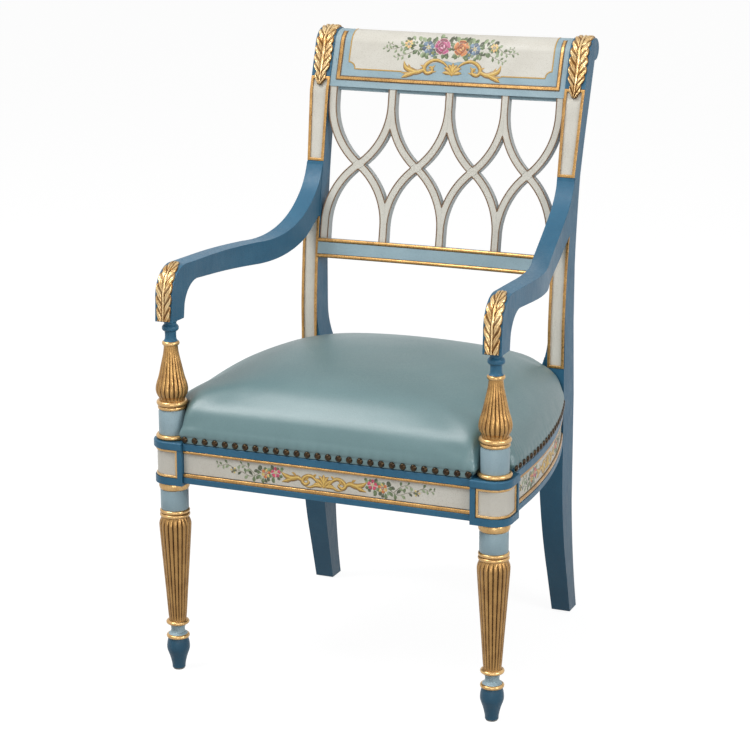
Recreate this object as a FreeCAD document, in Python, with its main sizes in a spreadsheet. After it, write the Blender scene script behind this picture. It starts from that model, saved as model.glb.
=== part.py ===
"""Painted open armchair in the neoclassical taste, with a fixed upholstered seat.

Millimetres, +Z up, +Y to the back, front of the chair towards -Y. The origin is on the floor
under the middle of the chair's box. Outlines are drawn from the line between the axes of the
front legs, and front_leg_y carries them to the chair's frame.
"""
import FreeCAD
import Part
import Sketcher
import math
import os

# Lengths in millimetres, piece by piece
LENGTHS = {
    "front_leg_y": -262.12,
    "front_leg_x": 260.0,
    "fit_gap": 0.2,
    "soft_gap": 0.4,
    "overrun": 5.0,
    "trim_reach": 1200.0,
    # glides
    "glide_radius": 9.0,
    "glide_height": 3.0,
    # front leg
    "toe_radius": 10.2,
    "foot_radius": 17.8,
    "foot_widest_z": 36.0,
    "foot_shoulder_z": 49.0,
    "foot_shoulder_radius": 16.2,
    "foot_ring_z": 52.4,
    "foot_ring_height": 6.5,
    "foot_ring_radius": 18.1,
    "foot_ring_seat": 15.2,
    "ankle_radius": 10.7,
    "ankle_z": 67.5,
    "ankle_ring_z": 75.0,
    "ankle_ring_height": 6.8,
    "shaft_bottom_z": 86.0,
    "shaft_bottom_radius": 14.0,
    "reed_step": 0.5,
    "shaft_top_z": 239.0,
    "shaft_top_radius": 24.6,
    "neck_z": 247.0,
    "neck_radius": 20.2,
    "neck_ring_z": 251.4,
    "neck_ring_height": 6.3,
    "neck_ring_radius": 23.2,
    "collar_radius": 21.4,
    "collar_top_z": 296.0,
    "under_block_seat": 20.4,
    "under_block_radius": 23.6,
    # block of the front leg
    "block_bottom_z": 309.0,
    "block_top_z": 377.0,
    "block_half": 28.0,
    "block_foot_band": 11.0,
    "block_cap_band": 12.5,
    "block_cap_overhang": 1.5,
    "block_recess": 4.0,
    "block_strip": 8.0,
    "block_back_strip": 6.0,
    "block_round": 2.4,
    "block_frame_width": 4.0,
    "block_frame_proud": 2.2,
    # arm support
    "base_ring_radius": 25.8,
    "base_ring_seat": 22.6,
    "base_ring_height": 7.5,
    "support_collar_radius": 21.0,
    "support_collar_top_z": 420.0,
    "ring_seat": 20.2,
    "small_ring_z": 422.8,
    "small_ring_height": 5.8,
    "small_ring_radius": 22.0,
    "big_ring_height": 8.4,
    "big_ring_radius": 23.6,
    "vase_bottom_z": 441.0,
    "vase_bottom_radius": 19.9,
    "vase_widest_z": 454.5,
    "vase_widest_radius": 24.6,
    "vase_belly_z": 474.0,
    "vase_belly_radius": 19.6,
    "vase_waist_z": 495.0,
    "vase_waist_radius": 14.9,
    "vase_top_z": 516.7,
    "vase_top_radius": 11.0,
    "vase_ring_z": 521.7,
    "vase_ring_height": 6.6,
    "vase_ring_radius": 13.2,
    "support_neck_radius": 8.6,
    "support_neck_z": 535.0,
    "support_bead_z": 543.2,
    "support_bead_height": 10.6,
    "support_bead_radius": 12.6,
    "support_top_radius": 11.2,
    "support_tenon_radius": 6.5,
    "support_tenon_length": 20.0,
    # arm
    "arm_front_outer_x": 275.0,
    "arm_bend_outer_x": 272.5,
    "arm_width": 29.0,
    "arm_bottom_z": 561.0,
    "arm_front_reach": 20.0,
    "arm_knee_reach": 18.0,
    "arm_block_back": 17.0,
    "arm_knee_z": 592.0,
    "arm_knee_bulge": 15.0,
    "arm_crown_y": 28.0,
    "arm_crown_z": 642.5,
    "arm_high_y": 110.0,
    "arm_high_z": 640.5,
    "arm_low_y": 240.0,
    "arm_low_z": 636.5,
    "arm_rise_y": 400.0,
    "arm_rise_z": 684.0,
    "arm_rise_bulge": 16.0,
    "arm_top_y": 437.0,
    "arm_top_z": 735.0,
    "arm_top_bulge": 5.0,
    "arm_under_knee_y": 20.0,
    "arm_under_knee_z": 582.0,
    "arm_under_knee_bulge": 8.0,
    "arm_under_y": 60.0,
    "arm_under_z": 613.5,
    "arm_belly_z": 601.0,
    "arm_under_rise_y": 370.0,
    "arm_under_rise_z": 622.5,
    "arm_under_bulge": 6.7,
    "arm_under_end_y": 420.0,
    "arm_under_end_z": 650.0,
    "arm_tail_y": 448.0,
    "arm_bend_start_y": 110.0,
    "arm_bend_end_y": 400.0,
    "arm_tenon_width": 10.0,
    "arm_tenon_start_y": 412.0,
    "arm_tenon_end_y": 446.0,
    "arm_tenon_bottom_z": 655.0,
    "arm_tenon_top_z": 688.0,
    # carved leaves
    "leaf_thickness": 4.0,
    "arm_leaf_bottom_z": 563.0,
    "arm_leaf_base_height": 12.0,
    "arm_leaf_lobe_height": 15.5,
    "arm_leaf_tip_height": 12.0,
    "arm_leaf_half_base": 9.5,
    "arm_leaf_half_width": 13.0,
    "arm_leaf_lobe_bulge": 2.6,
    "crest_leaf_tip_z": 855.0,
    "crest_leaf_tip_height": 14.0,
    "crest_leaf_lobe_height": 19.0,
    "crest_leaf_half_base": 9.5,
    "crest_leaf_half_width": 14.6,
    "crest_leaf_lobe_bulge": 2.4,
    # back post, from the side
    "post_toe_front_y": 460.0,
    "post_toe_back_y": 494.0,
    "post_sabre_y": 437.0,
    "post_sabre_z": 80.0,
    "post_knee_z": 290.0,
    "post_sabre_bulge": 9.5,
    "post_front_y": 405.0,
    "post_seat_z": 500.0,
    "post_rake_bulge": 5.0,
    "post_arm_y": 437.0,
    "post_arm_z": 737.0,
    "post_head_y": 459.0,
    "post_head_z": 850.0,
    "post_roll_y": 484.0,
    "post_roll_z": 920.0,
    "post_roll_bulge": 6.0,
    "post_crown_y": 512.0,
    "post_crown_z": 948.0,
    "post_scroll_bulge": 6.4,
    "scroll_back_y": 534.5,
    "scroll_back_z": 931.5,
    "scroll_notch_y": 514.0,
    "scroll_notch_z": 914.0,
    "post_neck_y": 493.0,
    "post_neck_z": 852.0,
    "post_back_bulge": 6.3,
    "post_waist_y": 452.0,
    "post_waist_z": 600.0,
    "post_hip_y": 458.0,
    "post_hip_z": 380.0,
    "post_hock_z": 200.0,
    "post_heel_bulge": 5.5,
    # back post, from the front
    "post_inner_x": 202.0,
    "post_outer_x": 231.5,
    "post_waist_x": 229.5,
    "post_waist_outer_z": 560.0,
    "post_arm_x": 230.5,
    "post_shoulder_x": 235.0,
    "post_head_x": 236.0,
    "post_top_z": 960.0,
    "post_seat_inner_x": 190.0,
    "post_foot_inner_x": 200.0,
    "post_foot_top_z": 300.0,
    "post_flare_bottom_z": 430.0,
    "post_flare_top_z": 490.0,
    "post_flare_bulge": 3.2,
    "post_panel_recess": 2.0,
    "post_frame_width": 4.4,
    "post_frame_proud": 0.9,
    "post_upper_panel_top_z": 873.0,
    "post_lower_panel_z": 434.0,
    "post_lower_panel_top_z": 648.0,
    # curved back, drawn in its own leaning frame: out from the sheet and up it
    "back_face_y": 466.2,
    "back_face_z": 730.4,
    "back_radius": 848.0,
    "lattice_thickness": 14.5,
    "lattice_half_height": 125.0,
    "lattice_pitch": 97.5,
    "lattice_bar_width": 13.5,
    "lattice_stem": 25.5,
    "lattice_tenon": 8.0,
    "lattice_tenon_set_back": 3.5,
    "crest_thickness": 22.0,
    "crest_foot_forward": 1.2,
    "crest_brow_out": 9.7,
    "crest_brow_up": 195.6,
    "crest_brow_bulge": 6.0,
    "crest_crown_out": 34.0,
    "crest_crown_up": 222.0,
    "crest_scroll_out": 51.0,
    "crest_scroll_up": 207.0,
    "crest_scroll_bulge": 5.0,
    "crest_notch_out": 38.0,
    "crest_notch_up": 192.0,
    "crest_notch_bulge": 3.7,
    "crest_nape_out": 29.0,
    "crest_nape_up": 188.0,
    "crest_back_up": 160.0,
    "crest_underlip": 5.0,
    "crest_underlip_out": 4.0,
    "crest_tenon_bottom": 140.0,
    "crest_tenon_top": 172.0,
    "crest_bead_half_width": 191.5,
    "crest_bead_bottom": 137.0,
    "crest_bead_width": 4.5,
    "crest_bead_proud": 1.8,
    "crest_bead_top": 217.0,
    "rail_face_forward": 5.5,
    "rail_thickness": 26.0,
    "rail_height": 32.0,
    "rail_bead_height": 6.0,
    "rail_bead_set_back": 3.0,
    "rail_bead_proud": 1.4,
    "tenon_thickness": 9.0,
    "tenon_length": 14.0,
    "tenon_margin": 6.0,
    # seat rails
    "seat_rail_bottom_z": 313.0,
    "seat_rail_top_z": 376.0,
    "tacking_top_z": 392.0,
    "tacking_rebate": 3.0,
    "front_rail_face_y": -24.0,
    "seat_rail_thickness": 24.0,
    "rail_foot_band": 9.5,
    "rail_cap_band": 11.5,
    "rail_panel_recess": 3.5,
    "foot_bead_height": 6.0,
    "cap_bead_height": 4.3,
    "seat_bead_proud": 2.2,
    "seat_bead_round": 1.2,
    "side_rail_x": 281.4,
    "side_rail_bend_y": 80.0,
    "side_rail_end_x": 228.0,
    "side_rail_end_y": 414.0,
    "side_rear_tenon_x": 212.5,
    "back_rail_y": 446.0,
    "seat_tenon_bottom_z": 326.0,
    "seat_tenon_top_z": 362.0,
    "seat_tenon_length": 16.0,
    "seat_tenon_set_back": 8.0,
    # inside the seat frame
    "corner_block_bottom_z": 328.0,
    "corner_block_top_z": 370.0,
    "front_block_start_x": 176.0,
    "front_block_end_x": 203.0,
    "front_block_near_y": 55.0,
    "front_block_far_y": 80.0,
    "rear_block_start_x": 144.0,
    "rear_block_end_x": 171.5,
    "rear_block_reach": 50.0,
    "rear_block_side_x": 232.0,
    "rear_block_near_y": 340.0,
    "webbing_width": 50.0,
    "webbing_thickness": 1.5,
    "webbing_edge": 6.0,
    "webbing_pitch_x": 100.0,
    "webbing_first_y": 66.0,
    "webbing_pitch_y": 92.0,
    "webbing_first_half": 268.0,
    "webbing_taper": 13.0,
    "dust_cover_thickness": 1.0,
    "dust_cover_edge": 9.0,
    # cushion and hem
    "cushion_height": 90.6,
    "cushion_centre_y": 208.0,
    "cushion_corner": 29.0,
    "cushion_back_corner": 18.0,
    "cushion_back_y": 441.0,
    "cushion_back_x": 227.0,
    "cushion_side_bulge": 12.6,
    "cushion_side_end_x": 231.5,
    "support_clearance": 26.6,
    "hem_thickness": 2.6,
}
BACK_LEAN_DEGREES = 10.4
REED_COUNT = 20
REED_DEPTH_SHARE = 0.09
REED_SHOULDER_SHARE = 0.28
RING_FLAT_SHARE = 0.3
LATTICE_CELLS = 4
STRAPS_EACH_WAY = 4
ARM_LEAF_LOBE_SHARES = (0.86, 1.0, 1.0, 0.92, 0.7)
CREST_LEAF_LOBE_SHARES = (0.78, 0.95, 1.0, 1.0, 1.0)
# Shares of the cushion's plan and of its height, from its foot to its crown
CUSHION_PLAN_SHARES = (0.988, 1.002, 1.005, 0.988, 0.949, 0.878, 0.784, 0.639, 0.451, 0.22)
CUSHION_HEIGHT_SHARES = (0.0, 0.09, 0.25, 0.38, 0.5, 0.633, 0.767, 0.889, 0.967, 1.0)
# A quarter circle stands this share of its radius beyond its chord
QUARTER_SHARE = 1 - math.sqrt(0.5)


class Length:
    """A size of the sheet, or one worked out from several: its number and its expression."""

    def __init__(self, value, text):
        self.value = value
        self.text = text

    def __float__(self):
        return float(self.value)

    def __add__(self, other):
        return Length(self.value + float(other), "(%s + %s)" % (self.text, words(other)))

    def __radd__(self, other):
        return Length(float(other) + self.value, "(%s + %s)" % (words(other), self.text))

    def __sub__(self, other):
        return Length(self.value - float(other), "(%s - %s)" % (self.text, words(other)))

    def __rsub__(self, other):
        return Length(float(other) - self.value, "(%s - %s)" % (words(other), self.text))

    def __mul__(self, other):
        return Length(self.value * float(other), "(%s * %s)" % (self.text, words(other)))

    def __rmul__(self, other):
        return Length(self.value * float(other), "(%s * %s)" % (words(other), self.text))

    def __truediv__(self, other):
        return Length(self.value / float(other), "(%s / %s)" % (self.text, words(other)))

    def __neg__(self):
        return Length(-self.value, "(0 - %s)" % self.text)


def words(number):
    """The expression of a length or of a plain share."""
    return number.text if isinstance(number, Length) else repr(float(number))


def root(length):
    return Length(math.sqrt(length.value), "sqrt(%s)" % length.text)


def cosine(angle):
    return Length(math.cos(math.radians(angle.value)), "cos(%s * 1 deg)" % angle.text)


def sine(angle):
    return Length(math.sin(math.radians(angle.value)), "sin(%s * 1 deg)" % angle.text)


def arc_sine(share):
    """The angle, in degrees, that has this sine."""
    return Length(math.degrees(math.asin(share.value)), "asin(%s)" % share.text)


class Sizes:
    """The spreadsheet of driving sizes, one alias a row, each read back as a Length."""

    def __init__(self, document, values):
        sheet = document.addObject("Spreadsheet::Sheet", "Sizes")
        for row, (name, value) in enumerate(values.items(), start=1):
            sheet.set("A%d" % row, name)
            sheet.set("B%d" % row, str(value))
            sheet.setAlias("B%d" % row, name)
        document.recompute()
        for name in values:
            setattr(self, name, Length(float(sheet.get(name)), "Sizes." + name))


doc = FreeCAD.newDocument("Armchair")
size = Sizes(doc, dict(LENGTHS, back_lean=BACK_LEAN_DEGREES))
ZERO = Length(0.0, "0")
nodes = []


def bind(thing, prop, length):
    """Sets a property from a length, and ties it to the sheet where it is not plain zero."""
    if isinstance(length, Length) and length.text != "0":
        thing.setExpression(prop, length.text)


def node(thing, label):
    """Counts a finished piece in, under the name that its file gets."""
    thing.Label = label
    nodes.append(thing)
    return thing


def chair_body(name, x=ZERO, y=ZERO, z=ZERO):
    """A body whose drawing origin is a point measured from the line of the front legs."""
    body = doc.addObject("PartDesign::Body", name)
    bind(body, "Placement.Base.x", x)
    bind(body, "Placement.Base.y", size.front_leg_y + y)
    bind(body, "Placement.Base.z", z)
    return body


def flat_sketch(body, role, offset=ZERO):
    """An empty sketch on one of the body's own planes, moved along the plane's normal."""
    sketch = body.newObject("Sketcher::SketchObject", body.Name + "_sketch")
    plane = [feature for feature in body.Origin.OriginFeatures if feature.Role == role][0]
    sketch.AttachmentSupport = [(plane, "")]
    sketch.MapMode = "FlatFace"
    bind(sketch, "AttachmentOffset.Base.z", offset)
    return sketch


def arc_edge(start, end, bulge):
    """An arc from start to end that stands out by bulge to the left of the way there.

    Its radius is a quarter of the squared chord plus the squared bulge, over twice the bulge.
    """
    chord = end - start
    left = FreeCAD.Vector(-chord.y, chord.x, 0).normalize()
    radius = (chord.Length ** 2 / 4 + bulge ** 2) / (2 * abs(bulge))
    centre = (start + end) * 0.5 + left * (bulge - math.copysign(radius, bulge))
    first, last = (end, start) if bulge > 0 else (start, end)
    turn_first = math.atan2(first.y - centre.y, first.x - centre.x)
    turn_last = math.atan2(last.y - centre.y, last.x - centre.x)
    if turn_last <= turn_first:
        turn_last += 2 * math.pi
    circle = Part.Circle(centre, FreeCAD.Vector(0, 0, 1), radius)
    return Part.ArcOfCircle(circle, turn_first, turn_last)


def arc_to(start, end, radius, side):
    """The point end, led to by an arc of that radius on the left (side 1) or right (side -1)."""
    across = end[0] - start[0]
    up = end[1] - start[1]
    half_squared = (float(across) ** 2 + float(up) ** 2) / 4
    bulge = float(radius) - math.sqrt(float(radius) ** 2 - half_squared)
    return (end[0], end[1], bulge * side, radius)


def draw(sketch, points):
    """Draws a closed outline, every corner held by its two distances from the origin.

    A point is (across, up), or (across, up, bulge) where an arc leads to it, and the bulge is
    how far the arc stands out to the left of the way from the point before. A fourth value is
    the arc's radius, where the drawing is led by that.
    """
    corners = [FreeCAD.Vector(float(point[0]), float(point[1]), 0) for point in points]
    count = len(points)
    ends = []
    for index in range(count):
        following = points[(index + 1) % count]
        start, end = corners[index], corners[(index + 1) % count]
        if len(following) > 2:
            bulge = float(following[2])
            edge = sketch.addGeometry(arc_edge(start, end, bulge), False)
            ends.append((edge, 2, 1) if bulge > 0 else (edge, 1, 2))
        else:
            edge = sketch.addGeometry(Part.LineSegment(start, end), False)
            ends.append((edge, 1, 2))
    for index in range(count):
        edge, first, last = ends[index]
        following_edge, following_first, _ = ends[(index + 1) % count]
        sketch.addConstraint(
            Sketcher.Constraint("Coincident", edge, last, following_edge, following_first))
        for kind, length in (("DistanceX", points[index][0]), ("DistanceY", points[index][1])):
            held = sketch.addConstraint(
                Sketcher.Constraint(kind, -1, 1, edge, first, float(length)))
            bind(sketch, "Constraints[%d]" % held, length)
        following = points[(index + 1) % count]
        if len(following) > 2:
            radius = following[3] if len(following) > 3 else arc_radius(points[index], following)
            held = sketch.addConstraint(Sketcher.Constraint("Radius", edge, float(radius)))
            bind(sketch, "Constraints[%d]" % held, radius)


def arc_radius(start, end):
    """The radius of the arc from start to end, as its third value bulges."""
    across = end[0] - start[0]
    up = end[1] - start[1]
    bulge = end[2]
    radius = ((across * across + up * up) / 4 + bulge * bulge) / (bulge * 2)
    return -radius if float(radius) < 0 else radius


def both_sides(half):
    """A closed outline from its right half, drawn from the middle line round to it again."""
    outline = list(half)
    for index in reversed(range(len(half))):
        across, up = half[index][0], half[index][1]
        if across.text == "0":
            continue
        bulges = half[index + 1][2:] if index + 1 < len(half) else ()
        outline.append((-across, up) + tuple(bulges))
    return outline


def pad(body, role, points, length, start=ZERO):
    """Adds to the body a pad from start along the normal of its plane, or along +Y."""
    backwards = role == "XZ_Plane"
    sketch = flat_sketch(body, role, -start if backwards else start)
    draw(sketch, points)
    feature = body.newObject("PartDesign::Pad", body.Name + "_pad")
    feature.Profile = sketch
    feature.Reversed = backwards
    bind(feature, "Length", length)
    body.Tip = feature
    return feature


def padded(name, role, points, length, start=ZERO, x=ZERO):
    body = chair_body(name, x)
    pad(body, role, points, length, start)
    return body


def box(name, x_range, y_range, z_range):
    """A square-cornered block between two values on each axis, y from the front legs."""
    block = doc.addObject("Part::Box", name)
    low_x, high_x = x_range
    low_y, high_y = y_range
    low_z, high_z = z_range
    bind(block, "Length", high_x - low_x)
    bind(block, "Width", high_y - low_y)
    bind(block, "Height", high_z - low_z)
    bind(block, "Placement.Base.x", low_x)
    bind(block, "Placement.Base.y", size.front_leg_y + low_y)
    bind(block, "Placement.Base.z", low_z)
    return block


def rod(name, radius, bottom_z, top_z, x):
    """An upright round rod on a front leg's axis."""
    cylinder = doc.addObject("Part::Cylinder", name)
    bind(cylinder, "Radius", radius)
    bind(cylinder, "Height", top_z - bottom_z)
    bind(cylinder, "Placement.Base.x", x)
    bind(cylinder, "Placement.Base.y", size.front_leg_y)
    bind(cylinder, "Placement.Base.z", bottom_z)
    return cylinder


def fused(name, pieces):
    fusion = doc.addObject("Part::MultiFuse", name)
    fusion.Shapes = pieces
    fusion.Refine = True
    return fusion


def common(name, pieces):
    overlap = doc.addObject("Part::MultiCommon", name)
    overlap.Shapes = pieces
    return overlap


def cut(name, base, tool):
    """The base less one tool, or less several."""
    if isinstance(tool, list):
        tool = fused(name + "_tools", tool) if len(tool) > 1 else tool[0]
    difference = doc.addObject("Part::Cut", name)
    difference.Base = base
    difference.Tool = tool
    return difference


def mirrored(source, name):
    """The left-hand twin of a right-hand piece."""
    twin = doc.addObject("Part::Mirroring", name)
    twin.Source = source
    twin.Normal = FreeCAD.Vector(1, 0, 0)
    return twin


def pair(right, label):
    """Counts in a right-hand piece and its twin as LABEL_right and LABEL_left."""
    node(right, label + "_right")
    node(mirrored(right, label + "_left"), label + "_left")


def turned(name, profile, x):
    """A turning on an upright axis, from its outside as (radius, height) from the foot up."""
    body = chair_body(name, x)
    sketch = flat_sketch(body, "XZ_Plane")
    draw(sketch, profile + [(ZERO, profile[-1][1]), (ZERO, profile[0][1])])
    turning = body.newObject("PartDesign::Revolution", name + "_turning")
    turning.Profile = sketch
    turning.ReferenceAxis = (sketch, ["V_Axis"])
    turning.Angle = 360.0
    return body


def ring(seat_radius, bottom_z, height, widest_radius):
    """The points of a small ring turned with three flats."""
    return [(seat_radius, bottom_z),
            (widest_radius, bottom_z + height * RING_FLAT_SHARE),
            (widest_radius, bottom_z + height * (1 - RING_FLAT_SHARE)),
            (seat_radius, bottom_z + height)]


def reeded(name, stations, x):
    """A reeded shaft through (crest radius, height) stations.

    Each station is a ring of reeds with three flats each: from the valley, a share of the
    radius deep, up to a shoulder a quarter of the reed's width on, across and down again.
    """
    step = 2 * math.pi / REED_COUNT
    rings = []
    for radius, height in stations:
        crest = float(radius)
        valley = crest * (1 - REED_DEPTH_SHARE)
        corners = []
        for reed in range(REED_COUNT):
            for reach, share in ((valley, 0), (crest, REED_SHOULDER_SHARE),
                                 (crest, 1 - REED_SHOULDER_SHARE)):
                turn = (reed + share) * step
                corners.append(FreeCAD.Vector(
                    reach * math.cos(turn), reach * math.sin(turn), float(height)))
        rings.append(Part.makePolygon(corners + corners[:1]))
    shaft = doc.addObject("Part::Feature", name)
    shaft.Shape = Part.makeLoft(rings, True, True)
    shaft.Placement = FreeCAD.Placement(
        FreeCAD.Vector(float(x), float(size.front_leg_y), 0), FreeCAD.Rotation())
    return shaft


def softened(body, radius, chosen):
    """Rounds those edges of a body's last feature for which chosen(edge) holds."""
    doc.recompute()
    feature = body.Tip
    names = []
    for index, edge in enumerate(feature.Shape.Edges, start=1):
        if chosen(edge):
            names.append("Edge%d" % index)
    fillet = body.newObject("PartDesign::Fillet", body.Name + "_round")
    fillet.Base = (feature, names)
    bind(fillet, "Radius", radius)
    body.Tip = fillet


def tenon(name, x_range, y_range, z_range):
    """A tenon, and the mortise for it, larger by the fit gap on every side."""
    grown = [(low - size.fit_gap, high + size.fit_gap) for low, high in (x_range, y_range, z_range)]
    return box(name, x_range, y_range, z_range), box(name + "_mortise", *grown)


def rectangle(low_across, high_across, low_up, high_up):
    return [(low_across, low_up), (high_across, low_up), (high_across, high_up),
            (low_across, high_up)]


# Foot glides
def glide(name, y):
    disc = doc.addObject("Part::Cylinder", name)
    bind(disc, "Radius", size.glide_radius)
    bind(disc, "Height", size.glide_height)
    bind(disc, "Placement.Base.y", size.front_leg_y + y)
    return disc


front_glide = glide("glide_front", ZERO)
bind(front_glide, "Placement.Base.x", size.front_leg_x)
pair(front_glide, "glide_front")
back_glide = glide("glide_back", (size.post_toe_front_y + size.post_toe_back_y) / 2)
bind(back_glide, "Placement.Base.x", (size.post_foot_inner_x + size.post_outer_x) / 2)
pair(back_glide, "glide_back")


# Front legs: turned foot, reeded shaft, collar, and the block that takes the rails
leg_foot = turned("leg_foot", [
    (size.toe_radius, size.glide_height),
    (size.foot_radius, size.foot_widest_z),
    (size.foot_shoulder_radius, size.foot_shoulder_z),
    (size.foot_ring_seat, size.foot_ring_z)]
    + ring(size.foot_ring_seat, size.foot_ring_z, size.foot_ring_height,
           size.foot_ring_radius)[1:]
    + [(size.ankle_radius, size.ankle_z), (size.shaft_bottom_radius, size.ankle_ring_z)]
    + ring(size.shaft_bottom_radius, size.ankle_ring_z, size.ankle_ring_height,
           size.foot_ring_radius)[1:]
    + [(size.shaft_bottom_radius, size.shaft_bottom_z)], size.front_leg_x)
leg_shaft = reeded("leg_shaft", [
    (size.shaft_bottom_radius - size.reed_step, size.shaft_bottom_z),
    (size.shaft_top_radius, size.shaft_top_z),
    (size.neck_radius - size.reed_step, size.neck_z)], size.front_leg_x)
leg_collar = turned("leg_collar", [(size.neck_radius, size.neck_z)]
    + ring(size.neck_radius, size.neck_ring_z, size.neck_ring_height,
           size.neck_ring_radius)
    + ring(size.neck_radius, size.neck_ring_z + size.neck_ring_height,
           size.neck_ring_height, size.neck_ring_radius)[1:]
    + [(size.collar_radius, size.neck_ring_z + size.neck_ring_height * 2),
       (size.collar_radius, size.collar_top_z)]
    + ring(size.under_block_seat, size.collar_top_z,
           size.block_bottom_z - size.collar_top_z, size.under_block_radius),
    size.front_leg_x)


def block_outline(reach, round_radius):
    """The block seen from above, about the leg's axis, its outer front corner rounded."""
    inner = -size.block_half
    back = size.block_half
    return [(inner, -reach), (ZERO, -reach),
            (reach, ZERO, round_radius * -QUARTER_SHARE), (reach, back), (inner, back)]


def block_skin(outer, inner, end_gap):
    """The layer between two depths that runs round the block's front and outer faces."""
    left = size.block_strip - size.block_half + end_gap
    back = size.block_half - size.block_back_strip - end_gap
    return [(left, -outer), (ZERO, -outer), (outer, ZERO, outer * -QUARTER_SHARE), (outer, back),
            (inner, back), (inner, ZERO), (ZERO, -inner, inner * QUARTER_SHARE), (left, -inner)]


leg_block = chair_body("leg_block", size.front_leg_x)
pad(leg_block, "XY_Plane", block_outline(size.block_half, size.block_half),
    size.block_top_z - size.block_bottom_z, size.block_bottom_z)
block_cap = chair_body("block_cap", size.front_leg_x)
cap_half = size.block_half + size.block_cap_overhang
pad(block_cap, "XY_Plane", block_outline(cap_half, cap_half),
    size.block_cap_band, size.block_top_z - size.block_cap_band)
cap_edge = -float(size.block_half)
softened(block_cap, size.block_round, lambda edge: abs(edge.Vertexes[0].Z - edge.Vertexes[-1].Z)
         < float(size.fit_gap) and (edge.CenterOfMass.y < cap_edge + float(size.fit_gap)
                                    or edge.CenterOfMass.x > -cap_edge - float(size.fit_gap)
                                    or len(edge.Vertexes) > 1 and edge.Curve.TypeId.count("Circle")))
panel_bottom_z = size.block_bottom_z + size.block_foot_band
panel_top_z = size.block_top_z - size.block_cap_band
floor_reach = size.block_half - size.block_recess
block_recess = padded("block_recess", "XY_Plane",
                      block_skin(size.block_half + size.overrun, floor_reach, ZERO),
                      panel_top_z - panel_bottom_z, panel_bottom_z, size.front_leg_x)
tenon_low = size.front_rail_face_y + size.seat_tenon_set_back
front_tenon, front_mortise = tenon(
    "front_rail_tenon",
    (size.front_leg_x - size.block_half - size.overrun,
     size.front_leg_x - size.block_half + size.seat_tenon_length),
    (tenon_low, tenon_low + size.tenon_thickness),
    (size.seat_tenon_bottom_z, size.seat_tenon_top_z))
side_tenon_x = size.side_rail_x - size.seat_rail_thickness / 2 + size.soft_gap
side_tenon, side_mortise = tenon(
    "side_rail_tenon",
    (side_tenon_x - size.tenon_thickness / 2, side_tenon_x + size.tenon_thickness / 2),
    (size.block_half - size.seat_tenon_length, size.block_half + size.overrun),
    (size.seat_tenon_bottom_z, size.seat_tenon_top_z))
support_hole = rod("support_hole", size.support_tenon_radius + size.fit_gap,
                   size.block_top_z - size.support_tenon_length - size.fit_gap,
                   size.block_top_z + size.overrun, size.front_leg_x)
front_leg = cut("front_leg_part", fused("leg_blank", [leg_foot, leg_shaft, leg_collar, leg_block]),
                [block_recess, front_mortise, side_mortise])
front_leg = cut("front_leg_capped", fused("leg_with_cap", [front_leg, block_cap]), support_hole)
pair(front_leg, "front_leg")

# Gilt frames in the recesses of the blocks
frame_reach = floor_reach + size.block_frame_proud
block_frame = padded("block_frame_blank", "XY_Plane",
                     block_skin(frame_reach, floor_reach, size.fit_gap),
                     panel_top_z - panel_bottom_z - size.fit_gap * 2,
                     panel_bottom_z + size.fit_gap, size.front_leg_x)
block_window = padded("block_frame_window", "XY_Plane",
                      block_skin(frame_reach + size.overrun, floor_reach - size.overrun,
                                 size.block_frame_width),
                      panel_top_z - panel_bottom_z - size.block_frame_width * 2,
                      panel_bottom_z + size.block_frame_width, size.front_leg_x)
pair(cut("block_frame_cut", block_frame, block_window), "block_frame")


# Arm supports: dowel, base ring, collar, rings, reeded vase, neck and bead
support_foot = turned("support_foot", [
    (size.support_tenon_radius, size.block_top_z - size.support_tenon_length),
    (size.support_tenon_radius, size.block_top_z)]
    + ring(size.base_ring_seat, size.block_top_z, size.base_ring_height,
           size.base_ring_radius)
    + [(size.support_collar_radius, size.block_top_z + size.base_ring_height),
       (size.support_collar_radius, size.support_collar_top_z),
       (size.ring_seat, size.support_collar_top_z)]
    + ring(size.ring_seat, size.small_ring_z, size.small_ring_height,
           size.small_ring_radius)
    + ring(size.ring_seat, size.small_ring_z + size.small_ring_height,
           size.big_ring_height, size.big_ring_radius)[1:]
    + [(size.vase_bottom_radius, size.vase_bottom_z)], size.front_leg_x)
support_vase = reeded("support_vase", [
    (size.vase_bottom_radius - size.reed_step, size.vase_bottom_z),
    (size.vase_widest_radius, size.vase_widest_z),
    (size.vase_belly_radius, size.vase_belly_z),
    (size.vase_waist_radius, size.vase_waist_z),
    (size.vase_top_radius - size.reed_step, size.vase_top_z)], size.front_leg_x)
support_neck = turned("support_neck", [(size.vase_top_radius, size.vase_top_z)]
    + ring(size.vase_top_radius, size.vase_ring_z, size.vase_ring_height,
           size.vase_ring_radius)
    + [(size.support_neck_radius, size.support_neck_z),
       (size.support_neck_radius, size.support_bead_z)]
    + ring(size.support_neck_radius, size.support_bead_z, size.support_bead_height,
           size.support_bead_radius)[1:]
    + [(size.support_top_radius, size.arm_bottom_z),
       (size.support_tenon_radius, size.arm_bottom_z),
       (size.support_tenon_radius, size.arm_bottom_z + size.support_tenon_length)],
    size.front_leg_x)
pair(fused("arm_support_part", [support_foot, support_vase, support_neck]), "arm_support")


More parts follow.
